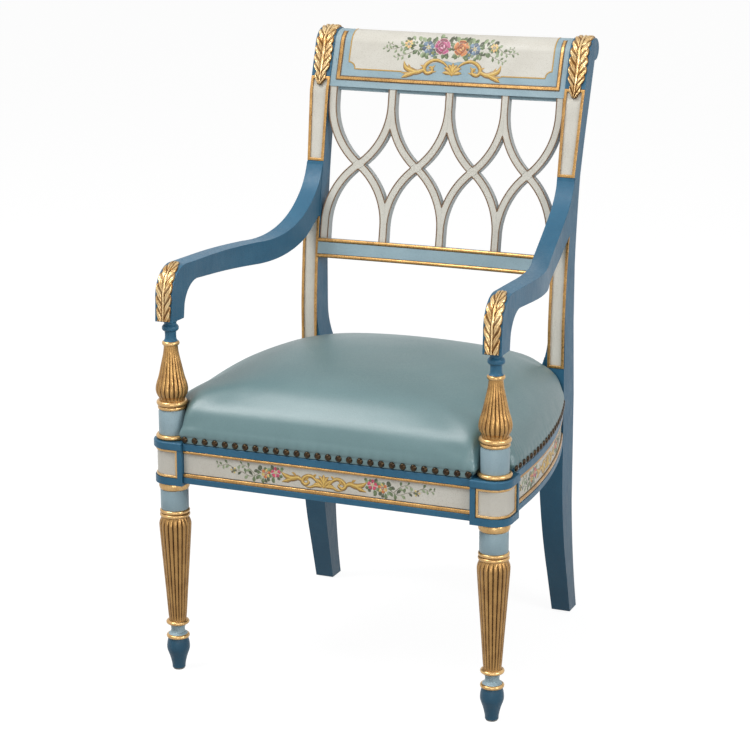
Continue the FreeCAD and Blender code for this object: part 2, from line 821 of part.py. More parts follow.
# Back posts: the side view and the front view cut from one board
post_side = padded("post_side", "YZ_Plane", [
    (size.post_toe_front_y, size.glide_height),
    (size.post_toe_back_y, size.glide_height),
    (size.post_hip_y, size.post_hock_z, size.post_heel_bulge),
    (size.post_hip_y, size.post_hip_z),
    (size.post_waist_y, size.post_seat_z),
    (size.post_waist_y, size.post_waist_z),
    (size.post_neck_y, size.post_neck_z, size.post_back_bulge),
    (size.scroll_notch_y, size.scroll_notch_z),
    (size.scroll_back_y, size.scroll_back_z, -size.post_scroll_bulge),
    (size.post_crown_y, size.post_crown_z, -size.post_scroll_bulge),
    (size.post_roll_y, size.post_roll_z, -size.post_roll_bulge),
    (size.post_head_y, size.post_head_z),
    (size.post_arm_y, size.post_arm_z),
    (size.post_front_y, size.post_seat_z, -size.post_rake_bulge),
    (size.post_front_y, size.post_knee_z),
    (size.post_sabre_y, size.post_sabre_z, -size.post_sabre_bulge)],
    size.overrun * 12, size.post_inner_x - size.overrun * 4)
post_front = padded("post_front", "XZ_Plane", [
    (size.post_foot_inner_x, ZERO),
    (size.post_outer_x, ZERO),
    (size.post_outer_x, size.post_foot_top_z),
    (size.post_waist_x, size.post_waist_outer_z),
    (size.post_arm_x, size.post_arm_z),
    (size.post_shoulder_x, size.post_head_z),
    (size.post_head_x, size.post_top_z),
    (size.post_inner_x, size.post_top_z),
    (size.post_inner_x, size.post_flare_top_z),
    (size.post_seat_inner_x, size.post_flare_bottom_z, size.post_flare_bulge),
    (size.post_seat_inner_x, size.post_foot_top_z)],
    size.trim_reach, ZERO)
post_blank = common("post_blank", [post_side, post_front])


def post_skin(name, near, far):
    """The layer between two depths behind the post's front face, from seat to head."""
    def line(set_back, rake):
        return [(size.post_roll_y + set_back, size.post_roll_z),
                (size.post_head_y + set_back, size.post_head_z),
                (size.post_arm_y + set_back, size.post_arm_z),
                (size.post_front_y + set_back, size.post_seat_z, rake),
                (size.post_front_y + set_back, size.post_flare_bottom_z)]
    there = line(near, -size.post_rake_bulge)
    back = line(far, ZERO)
    outline = there + [back[4], back[3][:2], (back[2][0], back[2][1], size.post_rake_bulge),
                       back[1], back[0]]
    return padded(name, "YZ_Plane", outline, size.overrun * 12,
                  size.post_inner_x - size.overrun * 4)


def outer_x(low, high, z):
    """The x of the post's outer edge at a height, on the line between two (x, z) corners."""
    return low[0] + (high[0] - low[0]) * (z - low[1]) / (high[1] - low[1])


def post_window(name, outer_edge, side_inset, end_inset):
    """An opening in the post's front view, inset from the post's edges and from its own ends."""
    inner = size.post_inner_x + side_inset
    low_z = outer_edge[0][1] + end_inset
    high_z = outer_edge[-1][1] - end_inset
    outer = [(x - side_inset, z) for x, z in outer_edge]
    outer[0] = (outer[0][0], low_z)
    outer[-1] = (outer[-1][0], high_z)
    return padded(name, "XZ_Plane", [(inner, low_z)] + outer + [(inner, high_z)],
                  size.trim_reach, ZERO)


waist_corner = (size.post_waist_x, size.post_waist_outer_z)
arm_corner = (size.post_arm_x, size.post_arm_z)
shoulder_corner = (size.post_shoulder_x, size.post_head_z)
head_corner = (size.post_head_x, size.post_top_z)
lower_top_z = size.post_lower_panel_top_z
upper_top_z = size.post_upper_panel_top_z
PANELS = {
    "lower": [(size.post_waist_x, size.post_lower_panel_z), waist_corner,
              (outer_x(waist_corner, arm_corner, lower_top_z), lower_top_z)],
    "upper": [arm_corner, shoulder_corner,
              (outer_x(shoulder_corner, head_corner, upper_top_z), upper_top_z)]}
post_recesses = []
post_frames = {}
for name, edge in PANELS.items():
    opening = post_window(name + "_panel", edge, -size.overrun, ZERO)
    skin = post_skin(name + "_panel_skin", -size.overrun, size.post_panel_recess)
    post_recesses.append(common(name + "_panel_recess", [opening, skin]))
    frame_skin = post_skin(name + "_frame_skin", -size.post_frame_proud, size.post_panel_recess)
    frame_edge = post_window(name + "_frame_edge", edge, ZERO, size.fit_gap)
    frame_hole = post_window(name + "_frame_hole", edge, size.post_frame_width,
                             size.post_frame_width)
    post_frames[name] = cut(name + "_frame_cut", common(
        name + "_frame_blank", [frame_skin, frame_edge]), frame_hole)
    pair(post_frames[name], "post_frame_" + name)


# Arms: the side view and the plan cut from one board, tenoned into the posts
arm_side = padded("arm_side", "YZ_Plane", [
    (-size.arm_front_reach, size.arm_bottom_z),
    (size.arm_block_back, size.arm_bottom_z),
    (size.arm_under_knee_y, size.arm_under_knee_z),
    (size.arm_under_y, size.arm_under_z, size.arm_under_knee_bulge),
    (size.arm_low_y, size.arm_belly_z),
    (size.arm_under_rise_y, size.arm_under_rise_z, -size.arm_under_bulge),
    (size.arm_under_end_y, size.arm_under_end_z),
    (size.arm_tail_y, size.arm_under_end_z),
    (size.arm_tail_y, size.arm_top_z),
    (size.arm_top_y, size.arm_top_z),
    (size.arm_rise_y, size.arm_rise_z, size.arm_top_bulge),
    (size.arm_low_y, size.arm_low_z, size.arm_rise_bulge),
    (size.arm_high_y, size.arm_high_z),
    (size.arm_crown_y, size.arm_crown_z),
    (-size.arm_knee_reach, size.arm_knee_z, -size.arm_knee_bulge)],
    size.arm_width * 4, size.post_inner_x - size.arm_width)
bend_middle_y = (size.arm_bend_start_y + size.arm_bend_end_y) / 2
bend_middle_x = (size.arm_bend_outer_x + size.post_outer_x) / 2
bend_bulge = (size.arm_bend_outer_x - bend_middle_x) / 4
arm_plan = padded("arm_plan", "XY_Plane", [
    (size.arm_front_outer_x, -size.arm_front_reach - size.overrun),
    (size.arm_bend_outer_x, size.arm_bend_start_y),
    (bend_middle_x, bend_middle_y, -bend_bulge),
    (size.post_outer_x, size.arm_bend_end_y, bend_bulge),
    (size.post_outer_x, size.arm_tail_y),
    (size.post_outer_x - size.arm_width, size.arm_tail_y),
    (size.post_outer_x - size.arm_width, size.arm_bend_end_y),
    (bend_middle_x - size.arm_width, bend_middle_y, -bend_bulge),
    (size.arm_bend_outer_x - size.arm_width, size.arm_bend_start_y, bend_bulge),
    (size.arm_front_outer_x - size.arm_width, -size.arm_front_reach - size.overrun)],
    size.trim_reach, ZERO)
arm_tail_x = size.post_outer_x - size.arm_width / 2
arm_tenon, arm_mortise = tenon(
    "arm_tenon",
    (arm_tail_x - size.arm_tenon_width / 2, arm_tail_x + size.arm_tenon_width / 2),
    (size.arm_tenon_start_y, size.arm_tenon_end_y),
    (size.arm_tenon_bottom_z, size.arm_tenon_top_z))
arm_hole = rod("arm_hole", size.support_tenon_radius + size.fit_gap,
               size.arm_bottom_z - size.overrun,
               size.arm_bottom_z + size.support_tenon_length + size.fit_gap, size.front_leg_x)
arm_sawn = cut("arm_sawn", common("arm_blank", [arm_side, arm_plan]), post_blank)
pair(cut("arm_bored", fused("arm_tenoned", [arm_sawn, arm_tenon]), arm_hole), "arm")


# Carved leaves on the arm fronts and over the post heads
def lobed(half_widths, start_z, lobe_height, bulge):
    """The right edge of a leaf going up, one lobe to every step between the half widths."""
    edge = [(half_widths[0], start_z)]
    for number, half_width in enumerate(half_widths[1:], start=1):
        edge.append((half_width, start_z + lobe_height * number, -bulge))
    return edge


arm_leaf_widths = [size.arm_leaf_half_width * share for share in ARM_LEAF_LOBE_SHARES]
leaf_start_z = size.arm_leaf_bottom_z + size.arm_leaf_base_height
leaf_end_z = leaf_start_z + size.arm_leaf_lobe_height * (len(arm_leaf_widths) - 1)
arm_leaf_front = padded("arm_leaf_front", "XZ_Plane", both_sides(
    [(size.arm_leaf_half_base, size.arm_leaf_bottom_z), (size.arm_leaf_half_base, leaf_start_z)]
    + lobed(arm_leaf_widths, leaf_start_z, size.arm_leaf_lobe_height, size.arm_leaf_lobe_bulge)
    + [(ZERO, leaf_end_z + size.arm_leaf_tip_height)]),
    size.front_leg_x, -size.front_leg_x / 2, size.front_leg_x)
leaf_reach = size.leaf_thickness
arm_leaf_skin = padded("arm_leaf_skin", "YZ_Plane", [
    (-size.arm_front_reach, size.arm_bottom_z),
    (-size.arm_knee_reach, size.arm_knee_z),
    (size.arm_crown_y, size.arm_crown_z, size.arm_knee_bulge),
    (size.arm_crown_y, size.arm_crown_z + leaf_reach),
    (-size.arm_knee_reach - leaf_reach, size.arm_knee_z + leaf_reach / 2, -size.arm_knee_bulge),
    (-size.arm_front_reach - leaf_reach, size.arm_bottom_z)],
    size.arm_width * 2, size.front_leg_x - size.arm_width)
pair(common("arm_leaf_part", [arm_leaf_front, arm_leaf_skin]), "arm_leaf")

crest_leaf_widths = [size.crest_leaf_half_width * share for share in CREST_LEAF_LOBE_SHARES]
leaf_start_z = size.crest_leaf_tip_z + size.crest_leaf_tip_height
crest_leaf_x = (size.post_inner_x + size.post_head_x) / 2
crest_leaf_front = padded("crest_leaf_front", "XZ_Plane", both_sides(
    [(ZERO, size.crest_leaf_tip_z), (size.crest_leaf_half_base, leaf_start_z)]
    + lobed(crest_leaf_widths, leaf_start_z, size.crest_leaf_lobe_height,
            size.crest_leaf_lobe_bulge)
    + [(ZERO, leaf_start_z + size.crest_leaf_lobe_height * len(crest_leaf_widths))]),
    size.trim_reach, ZERO, crest_leaf_x)
crest_leaf_skin = padded("crest_leaf_skin", "YZ_Plane", [
    (size.post_head_y, size.post_head_z),
    (size.post_roll_y, size.post_roll_z),
    (size.post_crown_y, size.post_crown_z, size.post_roll_bulge),
    (size.scroll_back_y, size.scroll_back_z, size.post_scroll_bulge),
    (size.scroll_back_y + leaf_reach, size.scroll_back_z),
    (size.post_crown_y + leaf_reach / 4, size.post_crown_z + leaf_reach,
     -size.post_scroll_bulge),
    (size.post_roll_y - leaf_reach, size.post_roll_z + leaf_reach / 4, -size.post_roll_bulge),
    (size.post_head_y - leaf_reach, size.post_head_z)],
    size.overrun * 12, size.post_inner_x - size.overrun * 4)
crest_leaf_blank = common("crest_leaf_blank", [crest_leaf_front, crest_leaf_skin])


# The curved back, drawn in a frame that leans with it about the axis of its curve
back_reach = size.post_inner_x + size.overrun * 5


def leaning_body(name):
    """A body leaning with the back; its own Z is the axis that the boards are bent about."""
    body = doc.addObject("PartDesign::Body", name)
    body.Placement = FreeCAD.Placement(
        FreeCAD.Vector(), FreeCAD.Rotation(FreeCAD.Vector(-1, 0, 0), float(size.back_lean)))
    body.setExpression("Placement.Rotation.Angle", "Sizes.back_lean * 1 deg")
    bind(body, "Placement.Base.y",
         size.front_leg_y + size.back_face_y - size.back_radius * cosine(size.back_lean))
    bind(body, "Placement.Base.z", size.back_face_z + size.back_radius * sine(size.back_lean))
    return body


def bent_board(name, section):
    """A board bent to the back's curve, its section drawn as (out from the sheet, up it)."""
    body = leaning_body(name)
    sketch = flat_sketch(body, "YZ_Plane")
    draw(sketch, [(size.back_radius + point[0],) + tuple(point[1:]) for point in section])
    bend = body.newObject("PartDesign::Revolution", name + "_bend")
    bend.Profile = sketch
    bend.ReferenceAxis = (sketch, ["V_Axis"])
    bend.Midplane = True
    bind(bend, "Angle", arc_sine(back_reach / size.back_radius) * 2)
    return body


def leaning_pad(name, outline):
    """A front view outline carried straight back through the curve."""
    body = leaning_body(name)
    pad(body, "XZ_Plane", outline, size.back_radius, size.back_radius / 2)
    return body


def leaning_tenon(name, low, high, length, gap):
    """A tenon at the right end of a bent board, and with a gap the hole for it."""
    end_sag = size.back_radius - root(size.back_radius * size.back_radius
                                      - size.post_inner_x * size.post_inner_x)
    middle = size.back_radius + size.crest_thickness / 2 - end_sag
    body = leaning_body(name)
    half = size.tenon_thickness / 2 + gap
    pad(body, "YZ_Plane", rectangle(middle - half, middle + half, low - gap, high + gap),
        length + size.tenon_margin + gap, size.post_inner_x - size.tenon_margin)
    return body


between_posts = box("between_posts", (-size.post_inner_x, size.post_inner_x),
                    (ZERO, size.trim_reach), (ZERO, size.trim_reach))
half_bar = size.lattice_bar_width / 2
half_height = size.lattice_half_height
bar_end = half_height + size.lattice_tenon
outer_stem = size.lattice_pitch * (LATTICE_CELLS / 2)


def stem_slots(name, low, high):
    """Holes for the bars' tenons: one to a stem, the end ones open to the posts."""
    slots = []
    for stem in range(LATTICE_CELLS + 1):
        x = size.lattice_pitch * (stem - LATTICE_CELLS / 2)
        left, right = x - half_bar - size.fit_gap, x + half_bar + size.fit_gap
        if stem == 0:
            left = left - size.overrun
        if stem == LATTICE_CELLS:
            right = right + size.overrun
        slots.append(leaning_pad("%s_%d" % (name, stem), rectangle(left, right, low, high)))
    sheet = bent_board(name + "_sheet", rectangle(
        size.lattice_tenon_set_back - size.fit_gap, size.lattice_thickness + size.fit_gap,
        low, high))
    return common(name, [fused(name + "_all", slots), sheet])


crest_section = [
    (-size.crest_foot_forward, half_height),
    (size.crest_underlip_out, half_height),
    (size.crest_underlip_out, half_height - size.crest_underlip),
    (size.crest_thickness, half_height - size.crest_underlip),
    (size.crest_thickness, size.crest_back_up),
    (size.crest_nape_out, size.crest_nape_up),
    (size.crest_notch_out, size.crest_notch_up),
    (size.crest_scroll_out, size.crest_scroll_up, -size.crest_notch_bulge),
    (size.crest_crown_out, size.crest_crown_up, -size.crest_scroll_bulge),
    (size.crest_brow_out, size.crest_brow_up, -size.crest_brow_bulge)]
crest_board = common("crest_board", [bent_board("crest_bent", crest_section), between_posts])
crest_tenon = leaning_tenon("crest_tenon", size.crest_tenon_bottom, size.crest_tenon_top,
                            size.tenon_length, ZERO)
crest_mortise = leaning_tenon("crest_mortise", size.crest_tenon_bottom, size.crest_tenon_top,
                              size.tenon_length, size.fit_gap)
crest_slots = stem_slots("crest_slots", half_height - size.crest_underlip - size.overrun,
                         bar_end + size.fit_gap)
node(cut("crest_cut", fused("crest_tenoned", [
    crest_board, crest_tenon, mirrored(crest_tenon, "crest_tenon_left")]), crest_slots),
    "crest_rail")
pair(cut("crest_leaf_part", crest_leaf_blank, [post_blank, post_frames["upper"], crest_mortise]),
     "crest_leaf")

# The gilt bead let on to the crest's face
bead_skin = bent_board("crest_bead_skin", [
    (-size.crest_foot_forward - size.fit_gap, half_height),
    (size.crest_brow_out - size.fit_gap, size.crest_brow_up),
    (size.crest_crown_out - size.fit_gap, size.crest_crown_up, size.crest_brow_bulge),
    (size.crest_crown_out, size.crest_crown_up + size.crest_bead_proud),
    (size.crest_brow_out - size.crest_bead_proud, size.crest_brow_up, -size.crest_brow_bulge),
    (-size.crest_foot_forward - size.crest_bead_proud, half_height)])
bead_inner = size.crest_bead_half_width - size.crest_bead_width
crest_u = leaning_pad("crest_bead_front", [
    (-size.crest_bead_half_width, size.crest_bead_bottom),
    (size.crest_bead_half_width, size.crest_bead_bottom),
    (size.crest_bead_half_width, size.crest_bead_top),
    (bead_inner, size.crest_bead_top),
    (bead_inner, size.crest_bead_bottom + size.crest_bead_width),
    (-bead_inner, size.crest_bead_bottom + size.crest_bead_width),
    (-bead_inner, size.crest_bead_top),
    (-size.crest_bead_half_width, size.crest_bead_top)])
node(common("crest_bead_part", [bead_skin, crest_u]), "crest_bead")

# Lower back rail and the two beads in its rebates
rail_top = -half_height
rail_bottom = rail_top - size.rail_height
rail_front = -size.rail_face_forward
rebate = rail_front + size.rail_bead_set_back
rail_board = common("lower_board", [bent_board("lower_bent", [
    (rail_front, rail_bottom + size.rail_bead_height), (rebate, rail_bottom + size.rail_bead_height),
    (rebate, rail_bottom), (rail_front + size.rail_thickness, rail_bottom),
    (rail_front + size.rail_thickness, rail_top), (rebate, rail_top),
    (rebate, rail_top - size.rail_bead_height), (rail_front, rail_top - size.rail_bead_height)]),
    between_posts])
lower_low = rail_bottom + size.tenon_margin
lower_high = -bar_end - size.tenon_margin / 2
lower_tenon = leaning_tenon("lower_tenon", lower_low, lower_high, size.tenon_length, ZERO)
lower_mortise = leaning_tenon("lower_mortise", lower_low, lower_high, size.tenon_length,
                              size.fit_gap)
lower_slots = stem_slots("lower_slots", -bar_end - size.fit_gap, size.overrun - half_height)
node(cut("lower_cut", fused("lower_tenoned", [
    rail_board, lower_tenon, mirrored(lower_tenon, "lower_tenon_left")]), lower_slots),
    "lower_back_rail")
for name, low in (("top", rail_top - size.rail_bead_height), ("bottom", rail_bottom)):
    high = low + size.rail_bead_height
    bead = bent_board("rail_bead_%s_bent" % name, [
        (rebate, low), (rebate, high), (rail_front, high), (rail_front, low, -size.rail_bead_proud)])
    node(common("rail_bead_%s_part" % name, [bead, between_posts]), "lower_rail_bead_" + name)


# Lattice: in each cell a rising and a falling bar, half-lapped where they cross
def bar_outline(cell, rising, gap):
    """A bar's front view, grown by a gap on its arcs.

    Its middle line climbs a stem, bends by an arc to the middle of the cell, and by the
    counter arc to the next stem. The arc's radius is (a a + g g) / 2 a for half a cell a and
    half the height less the stem g. Inner bars share their stems and stop at the middle line.
    """
    left_x = size.lattice_pitch * (cell - LATTICE_CELLS / 2)
    right_x = left_x + size.lattice_pitch
    across = size.lattice_pitch / 2
    bend = half_height - size.lattice_stem
    radius = (across * across + bend * bend) / (across * 2)
    half = half_bar + gap
    wide, tight = radius + half, radius - half
    step_x = half - half * across / radius
    step_up = half * bend / radius
    middle = left_x + across
    apex = root(wide * wide - radius * radius) - bend
    turn = 1 if rising else -1
    start, end = -bar_end, bar_end

    def up(value):
        return value if rising else -value

    low_right = (left_x + half, up(-bend))
    cross_right = (middle + step_x, up(-step_up))
    cross_left = (middle - step_x, up(step_up))
    high_left = (right_x - half, up(bend))
    outline = [(left_x + half, up(start)), low_right,
               arc_to(low_right, cross_right, tight, turn)]
    if cell == LATTICE_CELLS - 1:
        high_right = (right_x + half, up(bend))
        outline += [arc_to(cross_right, high_right, wide, -turn), (right_x + half, up(end))]
    else:
        high_right = (right_x, up(-apex))
        outline += [arc_to(cross_right, high_right, wide, -turn), (right_x, up(end))]
    outline += [(right_x - half, up(end)), high_left,
                arc_to(high_left, cross_left, tight, turn)]
    if cell == 0:
        low_left = (left_x - half, up(-bend))
        outline += [arc_to(cross_left, low_left, wide, -turn), (left_x - half, up(start))]
    else:
        low_left = (left_x, up(apex))
        outline += [arc_to(cross_left, low_left, wide, -turn), (left_x, up(start))]
    return outline


lattice_sheet = fused("lattice_sheet", [
    bent_board("lattice_face", rectangle(
        ZERO, size.lattice_thickness, -half_height, half_height)),
    bent_board("lattice_tenons", rectangle(
        size.lattice_tenon_set_back, size.lattice_thickness, -bar_end, bar_end))])
front_half = bent_board("lattice_front_half", rectangle(
    -size.overrun, size.lattice_thickness / 2, -half_height, half_height))
back_half = bent_board("lattice_back_half", rectangle(
    size.lattice_thickness / 2, size.lattice_thickness + size.overrun, -half_height,
    half_height))
for cell in range(LATTICE_CELLS):
    cell_x = size.lattice_pitch * (cell - LATTICE_CELLS / 2 + 0.5)
    crossing = leaning_pad("crossing_%d" % cell, rectangle(
        cell_x - size.lattice_bar_width, cell_x + size.lattice_bar_width,
        -size.lattice_stem, size.lattice_stem))
    for rising, label, other_half in ((True, "rising", back_half), (False, "falling", front_half)):
        name = "%s_%d" % (label, cell + 1)
        bar = common(name + "_bar", [
            leaning_pad(name + "_front", bar_outline(cell, rising, ZERO)), lattice_sheet])
        lap = common(name + "_lap", [
            leaning_pad(name + "_crossed", bar_outline(cell, not rising, size.fit_gap)),
            other_half, crossing])
        node(cut(name + "_lapped", bar, lap), "splat_bar_" + name)


# Seat rails
rail_height = size.tacking_top_z - size.seat_rail_bottom_z
recess_low = size.seat_rail_bottom_z + size.rail_foot_band
recess_high = size.seat_rail_top_z - size.rail_cap_band


def rail_section(face, direction):
    """A seat rail's section; direction is which way its inside lies from its face."""
    def at(depth):
        return face + depth * direction
    return [
        (at(ZERO), size.seat_rail_bottom_z),
        (at(size.seat_rail_thickness), size.seat_rail_bottom_z),
        (at(size.seat_rail_thickness), size.tacking_top_z),
        (at(size.tacking_rebate), size.tacking_top_z),
        (at(size.tacking_rebate), size.seat_rail_top_z),
        (at(ZERO), size.seat_rail_top_z),
        (at(ZERO), recess_high),
        (at(size.rail_panel_recess), recess_high),
        (at(size.rail_panel_recess), recess_low),
        (at(ZERO), recess_low)]


def bead_section(face, direction, low, high):
    """A gilt bead on the floor of a rail's recess, its front rounded."""
    floor = face + size.rail_panel_recess * direction
    edge = floor - size.seat_bead_proud * direction
    return [(floor, low), (floor, high), (edge, high),
            (edge, low, size.seat_bead_round * -direction)]


SEAT_BEADS = (
    ("bottom", recess_low + size.fit_gap / 2, recess_low + size.foot_bead_height),
    ("top", recess_high - size.cap_bead_height, recess_high - size.fit_gap / 2))
block_inner_x = size.front_leg_x - size.block_half
front_board = padded("front_rail_board", "YZ_Plane", rail_section(size.front_rail_face_y, 1),
                     block_inner_x * 2, -block_inner_x)
node(fused("front_rail_tenoned", [
    front_board, front_tenon, mirrored(front_tenon, "front_rail_tenon_left")]),
    "front_seat_rail")
for name, low, high in SEAT_BEADS:
    node(padded("front_bead_%s_part" % name, "YZ_Plane",
                bead_section(size.front_rail_face_y, 1, low, high),
                (block_inner_x - size.fit_gap) * 2, size.fit_gap - block_inner_x),
         "front_rail_bead_" + name)


def open_line(sketch, points):
    """Draws an open line through points given as to draw()."""
    for index in range(len(points) - 1):
        start, following = points[index], points[index + 1]
        first = FreeCAD.Vector(float(start[0]), float(start[1]), 0)
        last = FreeCAD.Vector(float(following[0]), float(following[1]), 0)
        first_end, last_end = 1, 2
        if len(following) > 2:
            edge = sketch.addGeometry(arc_edge(first, last, float(following[2])), False)
            first_end, last_end = (2, 1) if float(following[2]) > 0 else (1, 2)
            held = sketch.addConstraint(Sketcher.Constraint("Radius", edge, float(following[3])))
            bind(sketch, "Constraints[%d]" % held, following[3])
        else:
            edge = sketch.addGeometry(Part.LineSegment(first, last), False)
        for place, end in ((start, first_end), (following, last_end)):
            if place is start and index > 0:
                sketch.addConstraint(
                    Sketcher.Constraint("Coincident", previous[0], previous[1], edge, end))
                continue
            for kind, length in (("DistanceX", place[0]), ("DistanceY", place[1])):
                held = sketch.addConstraint(
                    Sketcher.Constraint(kind, -1, 1, edge, end, float(length)))
                bind(sketch, "Constraints[%d]" % held, length)
        previous = (edge, last_end)


def swept(name, section, start_y, end_y):
    """A section carried along a side rail's face and trimmed square between two distances."""
    body = chair_body(name)
    path = flat_sketch(body, "XY_Plane")
    side = size.side_rail_end_x - size.side_rail_x
    run = size.side_rail_end_y - size.side_rail_bend_y
    radius = (side * side + run * run) / (side * 2)
    bend_start = (size.side_rail_x, size.side_rail_bend_y)
    bend_end = (size.side_rail_end_x, size.side_rail_end_y)
    open_line(path, [(size.side_rail_x, size.block_half - size.overrun), bend_start,
                     arc_to(bend_start, bend_end, -radius, -1)])
    profile = flat_sketch(body, "XZ_Plane", size.overrun - size.block_half)
    draw(profile, section)
    pipe = body.newObject("PartDesign::AdditivePipe", name + "_pipe")
    pipe.Profile = profile
    pipe.Spine = (path, ["Edge1", "Edge2"])
    trim = box(name + "_trim", (ZERO, size.trim_reach), (start_y, end_y), (ZERO, size.trim_reach))
    return common(name + "_trimmed", [body, trim])


side_board = swept("side_rail_board", rail_section(size.side_rail_x, -1), size.block_half,
                   size.post_front_y)
side_rear_tenon, side_rear_mortise = tenon(
    "side_rear_tenon",
    (size.side_rear_tenon_x - size.tenon_thickness / 2,
     size.side_rear_tenon_x + size.tenon_thickness / 2),
    (size.post_front_y - size.overrun, size.post_front_y + size.seat_tenon_length),
    (size.seat_tenon_bottom_z, size.seat_tenon_top_z))
side_rail = fused("side_rail_tenoned", [side_board, side_tenon, side_rear_tenon])
pair(side_rail, "side_seat_rail")
for name, low, high in SEAT_BEADS:
    pair(swept("side_bead_" + name, bead_section(size.side_rail_x, -1, low, high),
               size.block_half + size.fit_gap, size.post_front_y - size.fit_gap),
         "side_rail_bead_" + name)

back_outer = size.back_rail_y
back_inner = back_outer - size.seat_rail_thickness
back_board = padded("back_rail_board", "YZ_Plane", [
    (back_inner, size.seat_rail_bottom_z), (back_outer, size.seat_rail_bottom_z),
    (back_outer, size.seat_rail_top_z), (back_outer - size.tacking_rebate, size.seat_rail_top_z),
    (back_outer - size.tacking_rebate, size.tacking_top_z), (back_inner, size.tacking_top_z)],
    size.post_seat_inner_x * 2, -size.post_seat_inner_x)
back_tenon, back_mortise = tenon(
    "back_rail_tenon",
    (size.post_seat_inner_x - size.overrun, size.post_seat_inner_x + size.seat_tenon_length),
    (back_inner + size.seat_tenon_set_back,
     back_inner + size.seat_tenon_set_back + size.tenon_thickness),
    (size.seat_tenon_bottom_z, size.seat_tenon_top_z))
node(fused("back_rail_tenoned", [
    back_board, back_tenon, mirrored(back_tenon, "back_rail_tenon_left")]), "back_seat_rail")

back_post = cut("back_post_part", post_blank, post_recesses + [
    arm_mortise, crest_mortise, lower_mortise, side_rear_mortise, back_mortise])
pair(back_post, "back_post")

# Glued corner blocks
front_inner = size.front_rail_face_y + size.seat_rail_thickness
side_inner = size.side_rail_x - size.seat_rail_thickness
block_rise = size.corner_block_top_z - size.corner_block_bottom_z
pair(padded("front_corner_part", "XY_Plane", [
    (size.front_block_start_x, front_inner), (size.front_block_end_x, front_inner),
    (side_inner, size.front_block_near_y), (side_inner, size.front_block_far_y)],
    block_rise, size.corner_block_bottom_z), "corner_block_front")
rear_corner = padded("rear_corner_blank", "XY_Plane", [
    (size.rear_block_start_x, back_inner), (size.rear_block_side_x, size.rear_block_near_y),
    (size.rear_block_end_x + size.rear_block_reach, back_inner - size.rear_block_reach),
    (size.rear_block_end_x, back_inner)], block_rise, size.corner_block_bottom_z)
pair(cut("rear_corner_part", rear_corner, side_board), "corner_block_back")

# Webbing, straps both ways in one mat, and the dust cover under the rails
straps = []
half_strap = size.webbing_width / 2
strap_front = size.front_rail_face_y + size.tacking_rebate + size.webbing_edge
strap_back = size.back_rail_y - size.tacking_rebate - size.webbing_edge
for number in range(STRAPS_EACH_WAY):
    x = size.webbing_pitch_x * (number - (STRAPS_EACH_WAY - 1) / 2)
    straps.append(box("strap_along_%d" % number, (x - half_strap, x + half_strap),
                      (strap_front, strap_back),
                      (size.tacking_top_z, size.tacking_top_z + size.webbing_thickness)))
    y = size.webbing_first_y + size.webbing_pitch_y * number
    half_length = size.webbing_first_half - size.webbing_taper * number
    straps.append(box("strap_across_%d" % number, (-half_length, half_length),
                      (y - half_strap, y + half_strap),
                      (size.tacking_top_z + size.webbing_thickness,
                       size.tacking_top_z + size.webbing_thickness * 2)))
node(fused("webbing_mat", straps), "seat_webbing")
cover_edge = size.dust_cover_edge
node(padded("dust_cover_part", "XY_Plane", both_sides([
    (block_inner_x - cover_edge, size.front_rail_face_y + cover_edge),
    (block_inner_x - cover_edge, size.block_half + cover_edge),
    (size.side_rail_x - cover_edge, size.block_half + cover_edge),
    (size.side_rail_x - cover_edge, size.side_rail_bend_y),
    (size.post_outer_x - cover_edge, size.post_front_y - cover_edge),
    (size.post_seat_inner_x - cover_edge, size.post_front_y - cover_edge),
    (size.post_seat_inner_x - cover_edge, size.back_rail_y - cover_edge)]),
    size.dust_cover_thickness, size.seat_rail_bottom_z - size.dust_cover_thickness),
    "dust_cover")


# Cushion: a loft through its plan, smaller and smaller towards the crown
cushion_bottom = size.tacking_top_z + size.webbing_thickness * 2 + size.soft_gap


def cushion_plan(share):
    """The seat's plan with rounded corners, scaled about the middle of the seat."""
    corner = size.cushion_corner
    back_corner = size.cushion_back_corner
    half = [
        (size.side_rail_x - corner, size.front_rail_face_y),
        (size.side_rail_x, size.front_rail_face_y + corner, corner * -QUARTER_SHARE),
        (size.side_rail_x, size.side_rail_bend_y),
        (size.cushion_side_end_x, size.post_front_y, -size.cushion_side_bulge),
        (size.cushion_back_x, size.cushion_back_y - back_corner),
        (size.cushion_back_x - back_corner, size.cushion_back_y, back_corner * -QUARTER_SHARE)]
    centre = size.cushion_centre_y
    scaled = [(point[0] * share, centre + (point[1] - centre) * share)
              + tuple(bulge * share for bulge in point[2:]) for point in half]
    return both_sides(scaled)


cushion_blank = chair_body("cushion_blank")
sections = []
for plan_share, height_share in zip(CUSHION_PLAN_SHARES, CUSHION_HEIGHT_SHARES):
    section = flat_sketch(cushion_blank, "XY_Plane",
                          cushion_bottom + size.cushion_height * height_share)
    draw(section, cushion_plan(plan_share))
    sections.append(section)
loft = cushion_blank.newObject("PartDesign::AdditiveLoft", "cushion_loft")
loft.Profile = sections[0]
loft.Sections = sections[1:]
loft.Ruled = True
cushion_blank.Tip = loft
clear = size.support_clearance
support_notch = padded("support_notch", "XY_Plane", [
    (size.front_leg_x - clear, -size.front_leg_x), (size.front_leg_x * 2, -size.front_leg_x),
    (size.front_leg_x * 2, clear), (size.front_leg_x, clear),
    (size.front_leg_x - clear, ZERO, clear * -QUARTER_SHARE)], size.trim_reach, ZERO)
notch_x = size.post_seat_inner_x - size.soft_gap
post_notch = box("post_notch", (notch_x, size.trim_reach),
                 (size.post_front_y - size.post_frame_proud - size.soft_gap, size.trim_reach),
                (ZERO, size.trim_reach))
